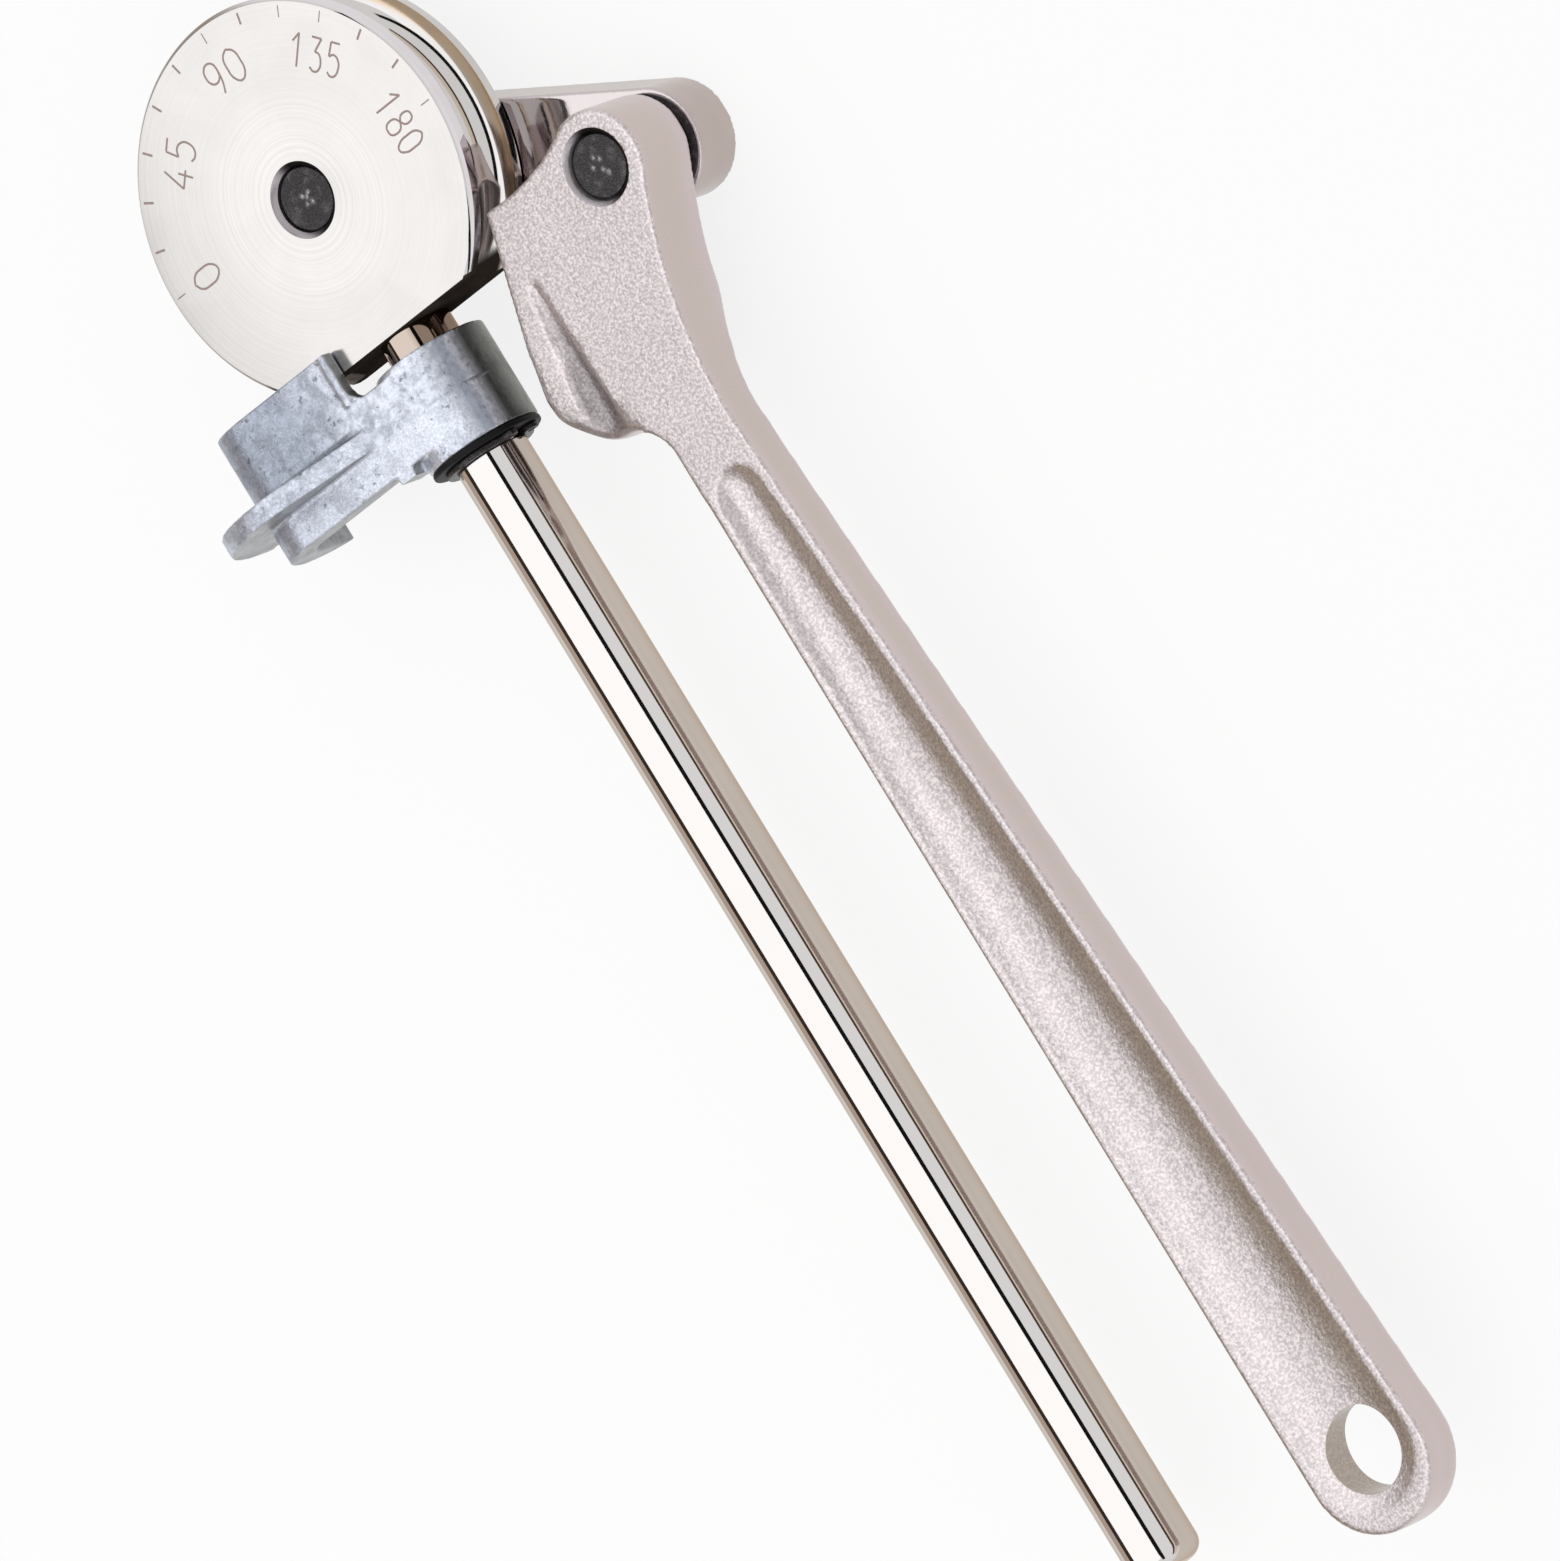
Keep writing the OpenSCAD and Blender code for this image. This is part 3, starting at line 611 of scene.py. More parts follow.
def loose_object(bm, name):
    """New object in the scene from a bmesh, which is freed."""
    mesh = bpy.data.meshes.new(name)
    bm.to_mesh(mesh)
    bm.free()
    made = bpy.data.objects.new(name, mesh)
    bpy.context.scene.collection.objects.link(made)
    return made


def evaluated(body, *scraps):
    """Bmesh of an object with its modifiers applied; the object and its helpers are deleted."""
    bpy.context.view_layer.update()
    mesh = bpy.data.meshes.new_from_object(body.evaluated_get(bpy.context.evaluated_depsgraph_get()))
    bm = bmesh.new()
    bm.from_mesh(mesh)
    for scrap in (body, *scraps):
        bpy.data.meshes.remove(scrap.data)
    bpy.data.meshes.remove(mesh)
    return bm


def carved(shape, cutters):
    """The shape less its cutters, with crisp edges."""
    body = loose_object(shape, "carving")
    tools = [loose_object(bm, "cutter") for bm in cutters]
    for tool in tools:
        cut = body.modifiers.new("cut", "BOOLEAN")
        cut.operation, cut.solver, cut.object = "DIFFERENCE", "EXACT", tool
    return evaluated(body, *tools)


def settled(shape, grid, passes):
    """The shape rebuilt in an even grid, with its edges eased."""
    body = loose_object(shape, "settling")
    even = body.modifiers.new("even", "REMESH")
    even.mode, even.voxel_size = "VOXEL", grid
    ease = body.modifiers.new("ease", "SMOOTH")
    ease.factor, ease.iterations = 0.5, passes
    return evaluated(body)


def soften(bm, inside, passes, *step):
    """Rounds the part of a settled shape for which a test of the vertex holds."""
    verts = [v for v in bm.verts if inside(v.co, *step)]
    for _ in range(passes):
        bmesh.ops.smooth_vert(bm, verts=verts, factor=0.5, use_axis_x=True, use_axis_y=True, use_axis_z=True)


def block(low, high):
    """Bmesh of a box between two corners."""
    bm = bmesh.new()
    bmesh.ops.create_cube(bm, size=1)
    low, high = Vector(low), Vector(high)
    return moved(bm, Matrix.Translation((low + high) / 2) @ Matrix.Diagonal((*(high - low), 1)))


def joined(bm, other):
    """Adds a second bmesh to the first."""
    mesh = bpy.data.meshes.new("joining")
    other.to_mesh(mesh)
    other.free()
    bm.from_mesh(mesh)
    bpy.data.meshes.remove(mesh)
    return bm


def cad_copy(node):
    """Merged copy of a CAD node's mesh, as a bmesh."""
    bm = bmesh.new()
    bm.from_mesh(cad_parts[node].data)
    bmesh.ops.remove_doubles(bm, verts=bm.verts, dist=MERGE)
    return bm


def place_piece(bm, name, body, look, node=None, sharp=180):
    """Object from a finished bmesh, with its finish, on its body and in place of its CAD node."""
    for face in bm.faces:
        face.smooth = True
    for edge in bm.edges:
        edge.smooth = not edge.is_manifold or edge.calc_face_angle() < math.radians(sharp)
    piece = loose_object(bm, name)
    piece.data.materials.clear()
    piece.data.materials.append(material_of(look))
    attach(piece, body)
    if node:
        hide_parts(node)


class BENDER_OT_former(bpy.types.Operator):
    """Turned former with its groove, rim chamfers, pin hole and flat"""

    bl_idname = "bender.former"
    bl_label = "Former"

    def execute(self, context):
        sizes = context.scene.bender_sizes
        chamfer = 0.8 * MM
        groove = arc((BEND_R, AXIS_Z), sizes.groove_r, 270, 90, 44)
        bm = turned([(BORE_R, BACK_Z), (BEND_R - chamfer, BACK_Z), (BEND_R, BACK_Z + chamfer), *groove,
                     (BEND_R, FACE_Z - chamfer), (BEND_R - chamfer, FACE_Z), (BORE_R + BORE_SINK, FACE_Z),
                     (BORE_R, FACE_Z - BORE_SINK)], steps=240, closed=True)
        cut = bmesh.ops.bisect_plane(bm, geom=bm.verts[:] + bm.edges[:] + bm.faces[:], dist=MERGE,
                                     plane_co=(0, FORMER_LOW.y, 0), plane_no=(0, -1, 0), clear_outer=True)
        rim = [e for e in cut["geom_cut"] if isinstance(e, bmesh.types.BMEdge)]
        bmesh.ops.holes_fill(bm, edges=rim, sides=0)
        ease_edges(bm, sizes.turned_edge)
        place_piece(bm, "bender_former", "former_and_rod", "polished_former",
                    "former", sharp=14)
        return {"FINISHED"}


# Strokes of the dial's digits, as points in a unit square
DIGITS = {
    "0": [[(0.5, 1), (0.14, 0.84), (0.04, 0.5), (0.14, 0.16), (0.5, 0), (0.86, 0.16), (0.96, 0.5),
           (0.86, 0.84), (0.5, 1)]],
    "1": [[(0.05, 0.72), (0.5, 1)], [(0.5, 1), (0.5, 0)]],
    "3": [[(0.1, 1), (0.85, 1)], [(0.85, 1), (0.42, 0.58)],
          [(0.42, 0.58), (0.72, 0.55), (0.92, 0.36), (0.84, 0.1), (0.5, 0), (0.1, 0.1)]],
    "4": [[(0.62, 1), (0.05, 0.28)], [(0.05, 0.28), (0.98, 0.28)], [(0.72, 0.52), (0.72, 0)]],
    "5": [[(0.88, 1), (0.2, 1)], [(0.2, 1), (0.12, 0.56)],
          [(0.12, 0.56), (0.5, 0.64), (0.86, 0.5), (0.9, 0.24), (0.66, 0.03), (0.34, 0), (0.08, 0.1)]],
    "8": [[(0.5, 0.54), (0.2, 0.65), (0.14, 0.82), (0.28, 0.97), (0.5, 1), (0.72, 0.97), (0.86, 0.82),
           (0.8, 0.65), (0.5, 0.54)],
          [(0.5, 0.54), (0.14, 0.43), (0.04, 0.24), (0.2, 0.04), (0.5, 0), (0.8, 0.04), (0.96, 0.24),
           (0.86, 0.43), (0.5, 0.54)]],
    "9": [[(0.9, 0.7), (0.82, 0.9), (0.5, 1), (0.18, 0.9), (0.08, 0.68), (0.2, 0.46), (0.5, 0.38),
           (0.8, 0.48), (0.9, 0.7)], [(0.9, 0.7), (0.84, 0.36), (0.62, 0)]],
}


class BENDER_OT_dial(bpy.types.Operator):
    """Engraved ticks every 15 degrees and plain numbers every 45 degrees"""

    bl_idname = "bender.dial"
    bl_label = "Dial"

    def execute(self, context):
        sizes = context.scene.bender_sizes
        curve = bpy.data.curves.new("dial_lines", "CURVE")
        curve.dimensions, curve.bevel_depth, curve.bevel_resolution = "3D", sizes.stroke / 2, 2
        curve.resolution_u, curve.use_fill_caps = 8, True

        def stroke(points, weight=1.0):
            spline = curve.splines.new("BEZIER")
            spline.bezier_points.add(len(points) - 1)
            for knot, point in zip(spline.bezier_points, points):
                knot.co = (*point, 0)
                knot.radius = weight
                knot.handle_left_type = knot.handle_right_type = "AUTO"

        faint_at, faint, bold = (0, 45, 60, 90, 180), 0.6, 1.1
        for angle in range(0, 181, 15):
            out = towards(angle)
            stroke([out * sizes.tick_ring, out * (sizes.tick_ring - sizes.tick_length)],
                   faint if angle in faint_at else bold)
        tall = sizes.digit_height
        for angle, label in ((180, "0"), (135, "45"), (90, "90"), (45, "135"), (0, "180")):
            turn = Matrix.Rotation(math.radians(angle - 90), 2)
            wide, gap = (0.44 * tall, 0.62 * tall) if len(label) == 3 else (0.6 * tall, 0.84 * tall)
            for i, digit in enumerate(label):
                left = (i - (len(label) - 1) / 2) * gap - wide / 2
                for line in DIGITS[digit]:
                    stroke([turn @ Vector((left + x * wide, sizes.digit_ring + (y - 0.5) * tall))
                            for x, y in line])
        lines = bpy.data.objects.new("dial_lines", curve)
        context.scene.collection.objects.link(lines)
        context.view_layer.update()
        bm = bmesh.new()
        mesh = bpy.data.meshes.new_from_object(lines.evaluated_get(context.evaluated_depsgraph_get()))
        bm.from_mesh(mesh)
        bpy.data.curves.remove(curve)
        bpy.data.meshes.remove(mesh)
        flatness = 0.12
        moved(bm, Matrix.Translation((0, 0, FACE_Z)) @ Matrix.Diagonal((1, 1, flatness, 1)))
        place_piece(bm, "dial_marks", "former_and_rod", "engraved_line")
        return {"FINISHED"}


def about_rod(bm):
    """Turns what was drawn about Z so that it lies about the rod, with its height along -Y."""
    return moved(bm, Matrix.Translation((0, 0, AXIS_Z)) @ Matrix.Rotation(math.pi / 2, 4, "X"))


class BENDER_OT_rod(bpy.types.Operator):
    """Chromed rod handle with its spigot, circlip groove and rounded end"""

    bl_idname = "bender.rod"
    bl_label = "Rod handle"

    def execute(self, context):
        sizes = context.scene.bender_sizes
        radius, end, shoulder = ROD_HIGH.x, -ROD_LOW.y, -FORMER_LOW.y
        spigot, tip, round_r = 5.5 * MM, -ROD_HIGH.y, 3.5 * MM
        clip_play, clip_deep = 0.05 * MM, 0.5 * MM
        clip_top = -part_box("rod_circlip")[1].y - clip_play
        clip_bottom = -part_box("rod_circlip")[0].y + clip_play
        corner = arc((radius - round_r, end - round_r), round_r, 0, 90, 10)
        bm = turned([(0, tip), (spigot - MM, tip), (spigot, tip + MM), (spigot, shoulder), (radius, shoulder),
                     (radius, clip_top), (radius - clip_deep, clip_top), (radius - clip_deep, clip_bottom),
                     (radius, clip_bottom), *corner, (0, end)], steps=128)
        ease_edges(bm, sizes.turned_edge)
        place_piece(about_rod(bm), "bender_rod", "former_and_rod", "mirror_chrome",
                    "rod_handle", sharp=20)
        return {"FINISHED"}


class BENDER_OT_ring_and_clip(bpy.types.Operator):
    """Black ring under the hook, and the eared circlip that holds it"""

    bl_idname = "bender.ring_and_clip"
    bl_label = "Ring and circlip"

    def execute(self, context):
        outer, inner = RING_HIGH.x, ROD_HIGH.x + 0.05 * MM
        top, bottom = -RING_HIGH.y, -RING_LOW.y
        ring = turned([(inner, top), (outer, top), (outer, bottom), (inner, bottom)], steps=128, closed=True)
        ease_edges(ring, width=0.4 * MM, segments=4)
        place_piece(about_rod(ring), "hook_spacer_ring", "former_and_rod", "matt_rubber",
                    "hook_ring", sharp=30)
        clip = settled(cad_copy("rod_circlip"), grid=0.16 * MM, passes=3)
        place_piece(clip, "rod_retaining_clip", "former_and_rod", "burnished_steel",
                    "rod_circlip")
        return {"FINISHED"}


class BENDER_OT_hook(bpy.types.Operator):
    """Cast tube hook with eased edges, a stub lug beside its boss and a parting dash"""

    bl_idname = "bender.hook"
    bl_label = "Tube hook"

    def execute(self, context):
        sizes = context.scene.bender_sizes
        boss_r, boss_low, boss_high = HOOK_HIGH.x, RING_HIGH.y, HOOK_BOSS_TOP
        arm_low = boss_low + 3.3 * MM
        stub = block((-13.5 * MM, arm_low - 1.8 * MM, AXIS_Z + 5 * MM),
                     (-9 * MM, arm_low + 2 * MM, AXIS_Z + 11.5 * MM))
        bm = settled(joined(cad_copy("tube_hook"), stub), sizes.cast_grid, sizes.rounding)
        dash_turn = math.radians(63)
        dash = block((-3.4 * MM, -0.3 * MM, -0.9 * MM), (3.4 * MM, 0.3 * MM, 0.9 * MM))
        moved(dash, Matrix.Translation((0, (boss_low + boss_high) / 2, AXIS_Z))
              @ Matrix.Rotation(dash_turn, 4, "Y") @ Matrix.Translation((0, 0, boss_r + 0.4 * MM)))
        bm = carved(bm, [dash])
        place_piece(bm, "cast_tube_hook", "hook", "die_casting", "tube_hook", sharp=50)
        return {"FINISHED"}


class BENDER_OT_link(bpy.types.Operator):
    """Plated link with counterbores for the pins' heads"""

    bl_idname = "bender.link"
    bl_label = "Link"

    def execute(self, context):
        sizes = context.scene.bender_sizes
        bm = settled(cad_copy("link_bar"), sizes.cast_grid, passes=3)
        place_piece(bm, "swing_link", "link", "plated_link", "link_bar")
        return {"FINISHED"}


def round_bar(radius, depth):
    """Bmesh of a round bar about Z, as a cutter."""
    bm = bmesh.new()
    bmesh.ops.create_cone(bm, cap_ends=True, segments=128, radius1=radius, radius2=radius, depth=depth)
    return bm


def scoop(start, start_r, stop, stop_r):
    """Bmesh of a long tapered scoop with round ends, as a cutter."""
    way = stop - start
    span = way.length
    taper = math.degrees(math.asin((stop_r - start_r) / span))
    bm = turned([*arc((0, 0), start_r, -90, -taper, 32), *arc((0, span), stop_r, -taper, 90, 48)], steps=160)
    return moved(bm, Matrix.Translation(start) @ aimed(way))


def face_scoops(start, start_w, start_d, stop, stop_w, stop_d, faces):
    """Scoops of a half width and depth at each end, in each face: its height, and 1 up or -1 down."""
    made = []
    for height, side in faces:
        ends = []
        for plan, half, depth in ((start, start_w, start_d), (stop, stop_w, stop_d)):
            radius = (half ** 2 + depth ** 2) / (2 * depth)
            ends += [Vector((plan[0], plan[1], height + side * (radius - depth))), radius]
        made.append(scoop(*ends))
    return made


def lever_plan():
    """Points, directions and radii of the lever, seen from its pin."""
    lip_turn, nose_y, tail_y, tail_spare = 15, 6.4, -29, 2.2 * MM
    turn = math.radians(lip_turn)
    plan = SimpleNamespace(
        boss_r=11 * MM, tail_r=12.4 * MM, hollow_r=8.5 * MM, end_r=14.4 * MM, dip_r=40 * MM,
        lip_turn=lip_turn, lip_l=(nose_y - tail_y) * MM / math.cos(turn), nose=Vector((-27.5, nose_y)) * MM,
        along=Vector((-math.sin(turn), -math.cos(turn))), inward=Vector((math.cos(turn), -math.sin(turn))),
        neck_x=-3.4 * MM, neck_y=-53 * MM, end=(HANG_AT - LEVER_AT).xy, shank_z=FACE_Z - SHANK_H)
    plan.tail = plan.nose + plan.lip_l * plan.along + (plan.tail_r - tail_spare) * plan.inward
    return plan


def lever_outline(plan):
    """Arcs that touch each other: tail, hollow, shank's end, neck, boss, and the dip to the nose."""
    boss_r, tail_r, hollow_r, tail, nose = plan.boss_r, plan.tail_r, plan.hollow_r, plan.tail, plan.nose
    hollow_x = plan.end.x - plan.end_r - hollow_r
    hollow = Vector((hollow_x, tail.y - math.sqrt((tail_r + hollow_r) ** 2 - (hollow_x - tail.x) ** 2)))
    neck_r = (plan.neck_x ** 2 + plan.neck_y ** 2 - boss_r ** 2) / (2 * (boss_r - plan.neck_x))
    neck = Vector((plan.neck_x + neck_r, plan.neck_y))
    top_turn, end_inset = 106, 2 * MM
    top = boss_r * towards(top_turn)
    chord = top - nose
    dip = (nose + top) / 2 + Vector((-chord.y, chord.x)).normalized() \
        * math.sqrt(plan.dip_r ** 2 - (chord.length / 2) ** 2)
    tail_meet, boss_meet = angle_of(hollow - tail), angle_of(neck)
    return [
        *arc(tail, tail_r, 180 - plan.lip_turn, 360 + tail_meet, 40),
        *arc(hollow, hollow_r, 180 + tail_meet, 0, 24),
        *arc((plan.end.x, plan.end.y - end_inset), plan.end_r, 180, 360, 64),
        *arc(neck, neck_r, 180, 180 + boss_meet, 40),
        *arc((0, 0), boss_r, boss_meet, top_turn, 64),
        *arc(dip, plan.dip_r, angle_of(top - dip) + 360, angle_of(nose - dip) + 360, 24),
    ]


def shank_back():
    """Cutter under the shank, with a curved step up from the full height at the shoe."""
    run, rise, steps, far, below = 22 * MM, FACE_Z - BACK_Z - SHANK_H + MM, 24, 0.5, -0.05
    shank_z = FACE_Z - SHANK_H
    curve = [(-run * i / steps, shank_z - rise * (1 + math.cos(math.pi * i / steps)) / 2)
             for i in range(steps + 1)]
    back = prism([(0, below), *curve, (-far, shank_z), (-far, below)], far)
    return moved(back, Matrix.Translation((0, -17 * MM, 0)) @ Matrix.Rotation(math.radians(130), 4, "Z")
                 @ Matrix.Rotation(math.pi / 2, 4, "X") @ Matrix.Translation((0, 0, -far / 2)))


def lever_cutters(plan, groove_r):
    """What is cut from the lever's blank: groove, shank's back, pad relief, pockets, valleys and slopes."""
    nose, along, inward, lip_l = plan.nose, plan.along, plan.inward, plan.lip_l
    both_faces = ((FACE_Z, 1), (BACK_Z, -1))
    groove = moved(round_bar(groove_r, 0.2),
                   Matrix.Translation((nose.x, nose.y, AXIS_Z)) @ aimed(along.to_3d()))

    pocket_d = 2.7 * MM
    pockets = face_scoops(Vector((-11.2, -66)) * MM, 5.6 * MM, pocket_d, plan.end, 12.4 * MM, pocket_d,
                          ((FACE_Z, 1), (plan.shank_z, -1)))
    valleys = face_scoops(nose + (lip_l - 20 * MM) * along + 5 * MM * inward, 1.4 * MM, 0.8 * MM,
                          nose + (lip_l + 10 * MM) * along + 10.6 * MM * inward, 4.6 * MM, 2.4 * MM, both_faces)

    slope, downhill, slopes = 4 * MM, towards(232), []
    for height, side in both_faces:
        out = Vector((*(slope * downhill), side * slope))
        slopes.append(moved(block((-12.5 * MM, -15 * MM, 0), (12.5 * MM, 15 * MM, 20 * MM)),
                            Matrix.Translation((*(plan.tail + (plan.tail_r - slope) * downhill), height))
                            @ aimed(out)))

    pad_r, clear_r, relief, deep, low, high = 9.3 * MM, 40 * MM, 2 * MM, 7 * MM, -95, 80
    around_pad = prism([*arc((0, 0), pad_r, low, high, 40), *arc((0, 0), clear_r, high, low, 40)], deep)
    moved(around_pad, Matrix.Translation((0, 0, BACK_Z + relief - deep)))
    return [groove, shank_back(), around_pad, *pockets, *valleys, *slopes]


def ease_lever(bm, plan):
    """Rounds the settled lever more at its tail, its back, its boss and its lip, in shrinking steps."""
    tail, along, neck_y = plan.tail, plan.along, plan.neck_y
    step_way, step_at = towards(-50), 20.6 * MM

    def on_tail(co, step):
        away = co.xy - tail
        return abs(away.length - plan.tail_r + 2 * MM) < 4 * MM and co.x < (-10 - step / 2) * MM \
            and away.dot(along) > (step - 9) * MM

    def on_shank_back(co, step):
        start = 20 - 3 * step if co.x > -12 * MM else -9 - 2 * step
        return co.y < neck_y + start * MM and co.z < FACE_Z - 5 * MM

    def on_back_step(co, step):
        return abs(co.xy.dot(step_way) - step_at) < (9 - step) * MM and co.z < BACK_Z + 6 * MM \
            and co.x > -8 * MM

    def on_shank_edge(co, step):
        return co.y < neck_y - (9 + step) * MM and co.z > FACE_Z - 3 * MM

    def on_boss_edge(co):
        return co.xy.length > plan.boss_r - 2 * MM and co.y > -9 * MM and co.x > -12 * MM

    def on_lip(co):
        away = co.xy - plan.nose
        return away.dot(plan.inward) < 3 * MM and away.dot(along) < plan.lip_l

    for step in range(12):
        soften(bm, on_tail, 5, step)
        soften(bm, on_shank_back, 2, step)
    for step in range(8):
        soften(bm, on_back_step, 5, step)
    for step in range(4):
        soften(bm, on_shank_edge, 1, step)
    soften(bm, on_boss_edge, 6)
    soften(bm, on_lip, 4)


class BENDER_OT_lever(bpy.types.Operator):
    """Forged bending lever: boss, grooved shoe, shank with pockets and hang hole"""

    bl_idname = "bender.lever"
    bl_label = "Lever"

    def execute(self, context):
        sizes = context.scene.bender_sizes
        plan = lever_plan()
        blank = moved(prism(lever_outline(plan), FACE_Z - BACK_Z), Matrix.Translation((0, 0, BACK_Z)))
        bm = settled(carved(blank, lever_cutters(plan, sizes.groove_r)), sizes.forged_grid, sizes.rounding)
        ease_lever(bm, plan)
        hang = moved(round_bar(HANG_R, 0.1), Matrix.Translation((*plan.end, FACE_Z)))
        bore = turned([(0, 0), (BORE_R, 0), (BORE_R, FACE_Z - BORE_SINK),
                       (BORE_R + 2 * BORE_SINK, FACE_Z + BORE_SINK), (0, FACE_Z + BORE_SINK)], steps=128)
        bm = moved(carved(bm, [hang, bore]), Matrix.Translation(LEVER_AT))
        place_piece(bm, "forged_lever", "lever", "blasted_forging", "lever", sharp=50)
        return {"FINISHED"}


class BENDER_OT_pins(bpy.types.Operator):
    """Headed pivot pins with punch marks in their ends"""

    bl_idname = "bender.pins"
    bl_label = "Pins"

    def execute(self, context):
        head_r, pin_r, chamfer, head_chamfer = PIN_HIGH.x, 6.5 * MM, 0.5 * MM, 0.3 * MM
        foot, shoulder, end = PIN_LOW.z, PIN_LOW.z + 2.6 * MM, PIN_HIGH.z
        dent_r, dent_d, loops = 0.42 * MM, 0.25 * MM, 24
        rings = [((pin_r - chamfer) * (1 - i / loops), end) for i in range(loops + 1)]
        marks = {
            "former_pin": ("former_and_rod", (0, 0),
                           ((0.2, 0.3), (-0.5, -0.9), (1.0, 0.9), (0.9, -1.0), (-0.7, 0.9))),
            "lever_pin": ("lever", LEVER_AT,
                          ((-0.3, 2.0), (-1.5, 0.4), (0.8, 1.1), (0.3, -0.9), (1.2, -2.0))),
        }
        for node, (body, at, points) in marks.items():
            bm = turned([(0, foot), (head_r - head_chamfer, foot), (head_r, foot + head_chamfer),
                         (head_r, shoulder), (pin_r, shoulder), (pin_r, end - chamfer), *rings], steps=96)
            struck = bm.verts.layers.float.new("struck")
            for vert in bm.verts:
                if vert.co.z > end - 0.01 * MM:
                    for x, y in points:
                        away = (vert.co.xy - Vector((x, y)) * MM).length
                        dent = math.exp(-(away / dent_r) ** 2)
                        vert.co.z -= dent_d * dent
                        vert[struck] = max(vert[struck], dent)
            moved(bm, Matrix.Translation((at[0], at[1], 0)))
            place_piece(bm, node + "_staked", body, "burnished_steel", node, sharp=28)
        return {"FINISHED"}


class BENDER_OT_washers(bpy.types.Operator):
    """Finish of the thrust washers, which keep their CAD shape"""

    bl_idname = "bender.washers"
    bl_label = "Washers"

    def execute(self, context):
        for node in ("former_washer", "lever_washer"):
            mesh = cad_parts[node].data
            mesh.materials.clear()
            mesh.materials.append(material_of("burnished_steel"))
        return {"FINISHED"}


# Stage

def seen_rays(tree):
    """Mask of the rays from the camera, from mirrors and through glass."""
    rays = add(tree, "ShaderNodeLightPath").outputs
    direct = worked(tree, "MAXIMUM", rays["Is Camera Ray"], rays["Is Glossy Ray"])
    return worked(tree, "MAXIMUM", direct, rays["Is Transmission Ray"])


def lay_floor(scene):
    """Paper floor that is lifted towards white where it is seen, and keeps the object's shadow."""
    bm = bmesh.new()
    bmesh.ops.create_grid(bm, x_segments=1, y_segments=1, size=8)
    floor = loose_object(bm, "studio_floor")
    material, tree, shader, place = finish("studio_paper", 0.0)
    specks = use(tree, "Grain", place, Size=3 * MM).outputs["Specks"]
    dress(tree, shader, toned(tree, specks, scene.bender_colours.floor, 0.997, 1.0), 0.9)
    shader.inputs["Specular IOR Level"].default_value = 0.1
    lift = times(tree, seen_rays(tree), 0.82)
    glow = add(tree, "ShaderNodeEmission", {"Color": (1, 1, 1, 1), "Strength": 1.0})
    mix = add(tree, "ShaderNodeMixShader", {0: lift, 1: shader.outputs[0], 2: glow.outputs[0]})
    out = next(node for node in tree.nodes if node.bl_idname == "ShaderNodeOutputMaterial")
    tree.links.new(mix.outputs[0], out.inputs["Surface"])
    floor.data.materials.append(material)


def light_world(scene):
    """Even fill light, and plain white where the world is seen."""
    world = bpy.data.worlds.new("studio")
    scene.world = world
    world.use_nodes = True
    tree = world.node_tree
    tree.nodes.clear()
    fill = add(tree, "ShaderNodeBackground", {"Color": (1, 1, 1, 1), "Strength": 0.72})
    white = add(tree, "ShaderNodeBackground", {"Color": (1, 1, 1, 1), "Strength": 1.0})
    mix = add(tree, "ShaderNodeMixShader", {0: seen_rays(tree), 1: fill.outputs[0], 2: white.outputs[0]})
    add(tree, "ShaderNodeOutputWorld", {"Surface": mix.outputs[0]})


def hang_softbox(scene):
    """Long softbox over the rod, tipped a little to the left."""
    away, long, half, tip = 1.2, 3.0, math.radians(39), math.radians(104)
    lamp = bpy.data.lights.new("softbox", "AREA")
    lamp.shape, lamp.size, lamp.size_y = "RECTANGLE", 2 * away * math.tan(half), long
    lamp.energy = 0.5 * math.pi * lamp.size * long
    box = bpy.data.objects.new("softbox", lamp)
    scene.collection.objects.link(box)
    out = Vector((math.cos(tip), 0, math.sin(tip)))
    box.matrix_world = Matrix.Translation(Vector((0, -0.14, AXIS_Z)) + away * out) \
        @ Matrix(((math.sin(tip), 0, out.x), (0, 1, 0), (-math.cos(tip), 0, out.z))).to_4x4()
    box.visible_camera = False


def card(name, low, high, colour):
    """Long card that metal mirrors, over a span of angles about the rod, in degrees from +X."""
    away, start, span = 1.0, -1.9, 3.5
    bm = bmesh.new()
    edge = bm.edges.new([bm.verts.new((away * math.cos(math.radians(a)), start,
                                       AXIS_Z + away * math.sin(math.radians(a)))) for a in (low, high)])
    far = bmesh.ops.extrude_edge_only(bm, edges=[edge])
    bmesh.ops.translate(bm, verts=[v for v in far["geom"] if isinstance(v, bmesh.types.BMVert)],
                        vec=(0, span, 0))
    made = loose_object(bm, name)
    material, tree = bare_material(name)
    glow = add(tree, "ShaderNodeEmission", {"Color": (*colour, 1), "Strength": 1.0})
    add(tree, "ShaderNodeOutputMaterial", {"Surface": glow.outputs[0]})
    made.data.materials.append(material)
    made.visible_camera = made.visible_diffuse = made.visible_shadow = False


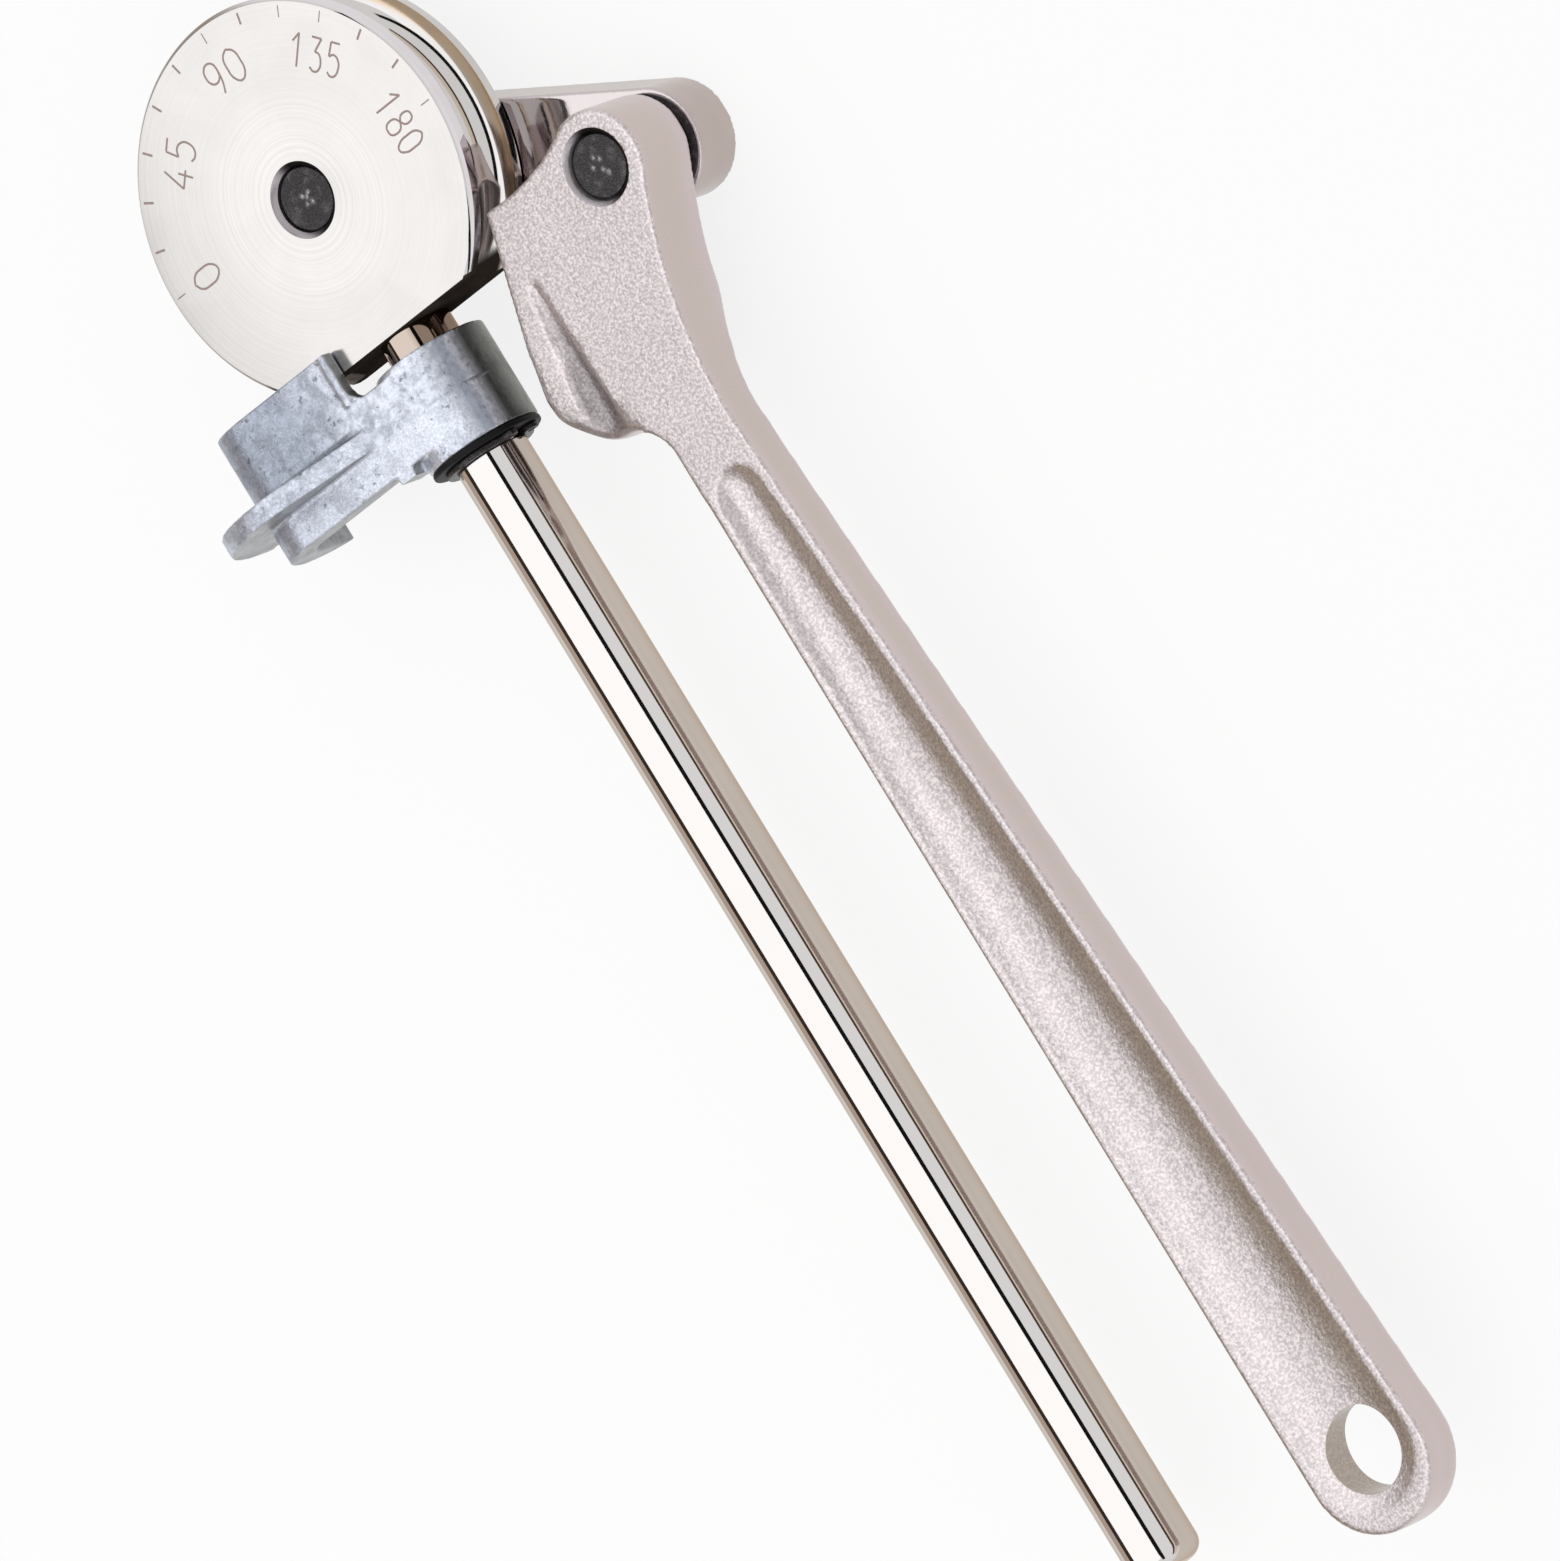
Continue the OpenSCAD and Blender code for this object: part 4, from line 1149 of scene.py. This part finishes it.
def set_camera(scene):
    """Distant camera at the photograph's angle, which sees a square of a given width."""
    away, seen_width, sensor = 4.0, 0.29219, 36
    side = Vector((0.6467, -0.5167, -0.5604)).normalized()
    up = Vector((0.4898, 0.8451, -0.2142))
    up = (up - up.dot(side) * side).normalized()
    back = side.cross(up)
    lens = bpy.data.cameras.new("photo_view")
    lens.sensor_width, lens.lens = sensor, sensor * away / seen_width
    lens.clip_start, lens.clip_end = 0.1, 100
    camera = bpy.data.objects.new("photo_view", lens)
    scene.collection.objects.link(camera)
    camera.matrix_world = Matrix.Translation(Vector((24.4, -143.8, 30)) * MM + away * back) \
        @ Matrix((side, up, back)).transposed().to_4x4()
    scene.camera = camera


class BENDER_OT_stage(bpy.types.Operator):
    """Pale floor, soft light, cards for the metal to mirror, and the camera"""

    bl_idname = "bender.stage"
    bl_label = "Stage"

    def execute(self, context):
        scene = context.scene
        scene.view_settings.view_transform = "Standard"
        lay_floor(scene)
        light_world(scene)
        hang_softbox(scene)
        card("dark_gap", 53.5, 65, (0.01, 0.01, 0.01))
        card("brown_edge_left", 143, 158, (0.05, 0.035, 0.025))
        card("warm_wall_left", 158, 180.5, (0.58, 0.475, 0.395))
        card("brown_edge_right", 12, 18.5, (0.08, 0.055, 0.035))
        card("warm_wall_right", -0.5, 12, (0.85, 0.74, 0.62))
        set_camera(scene)
        return {"FINISHED"}


class BENDER_PT_pieces(bpy.types.Panel):
    """List of the pieces in the 3D view's sidebar"""

    bl_idname = "BENDER_PT_pieces"
    bl_label = "Tube bender"
    bl_space_type = "VIEW_3D"
    bl_region_type = "UI"
    bl_category = "Bender"

    def draw(self, context):
        for operator in OPERATORS:
            self.layout.operator(operator.bl_idname)
        for group in (context.scene.bender_sizes, context.scene.bender_colours):
            for name in group.__annotations__:
                self.layout.prop(group, name)


OPERATORS = (
    BENDER_OT_stage, BENDER_OT_former, BENDER_OT_dial, BENDER_OT_rod, BENDER_OT_ring_and_clip,
    BENDER_OT_hook, BENDER_OT_link, BENDER_OT_lever, BENDER_OT_pins, BENDER_OT_washers,
)
CLASSES = (BenderSizes, BenderColours, *OPERATORS, BENDER_PT_pieces)


def register():
    for cls in CLASSES:
        bpy.utils.register_class(cls)
    bpy.types.Scene.bender_sizes = PointerProperty(type=BenderSizes)
    bpy.types.Scene.bender_colours = PointerProperty(type=BenderColours)


def unregister():
    del bpy.types.Scene.bender_colours
    del bpy.types.Scene.bender_sizes
    for cls in reversed(CLASSES):
        bpy.utils.unregister_class(cls)


def main():
    register()
    bpy.ops.bender.stage()
    bpy.ops.bender.former()
    bpy.ops.bender.dial()
    bpy.ops.bender.rod()
    bpy.ops.bender.ring_and_clip()
    bpy.ops.bender.hook()
    bpy.ops.bender.link()
    bpy.ops.bender.lever()
    bpy.ops.bender.pins()
    bpy.ops.bender.washers()


if __name__ == "__main__":
    main()
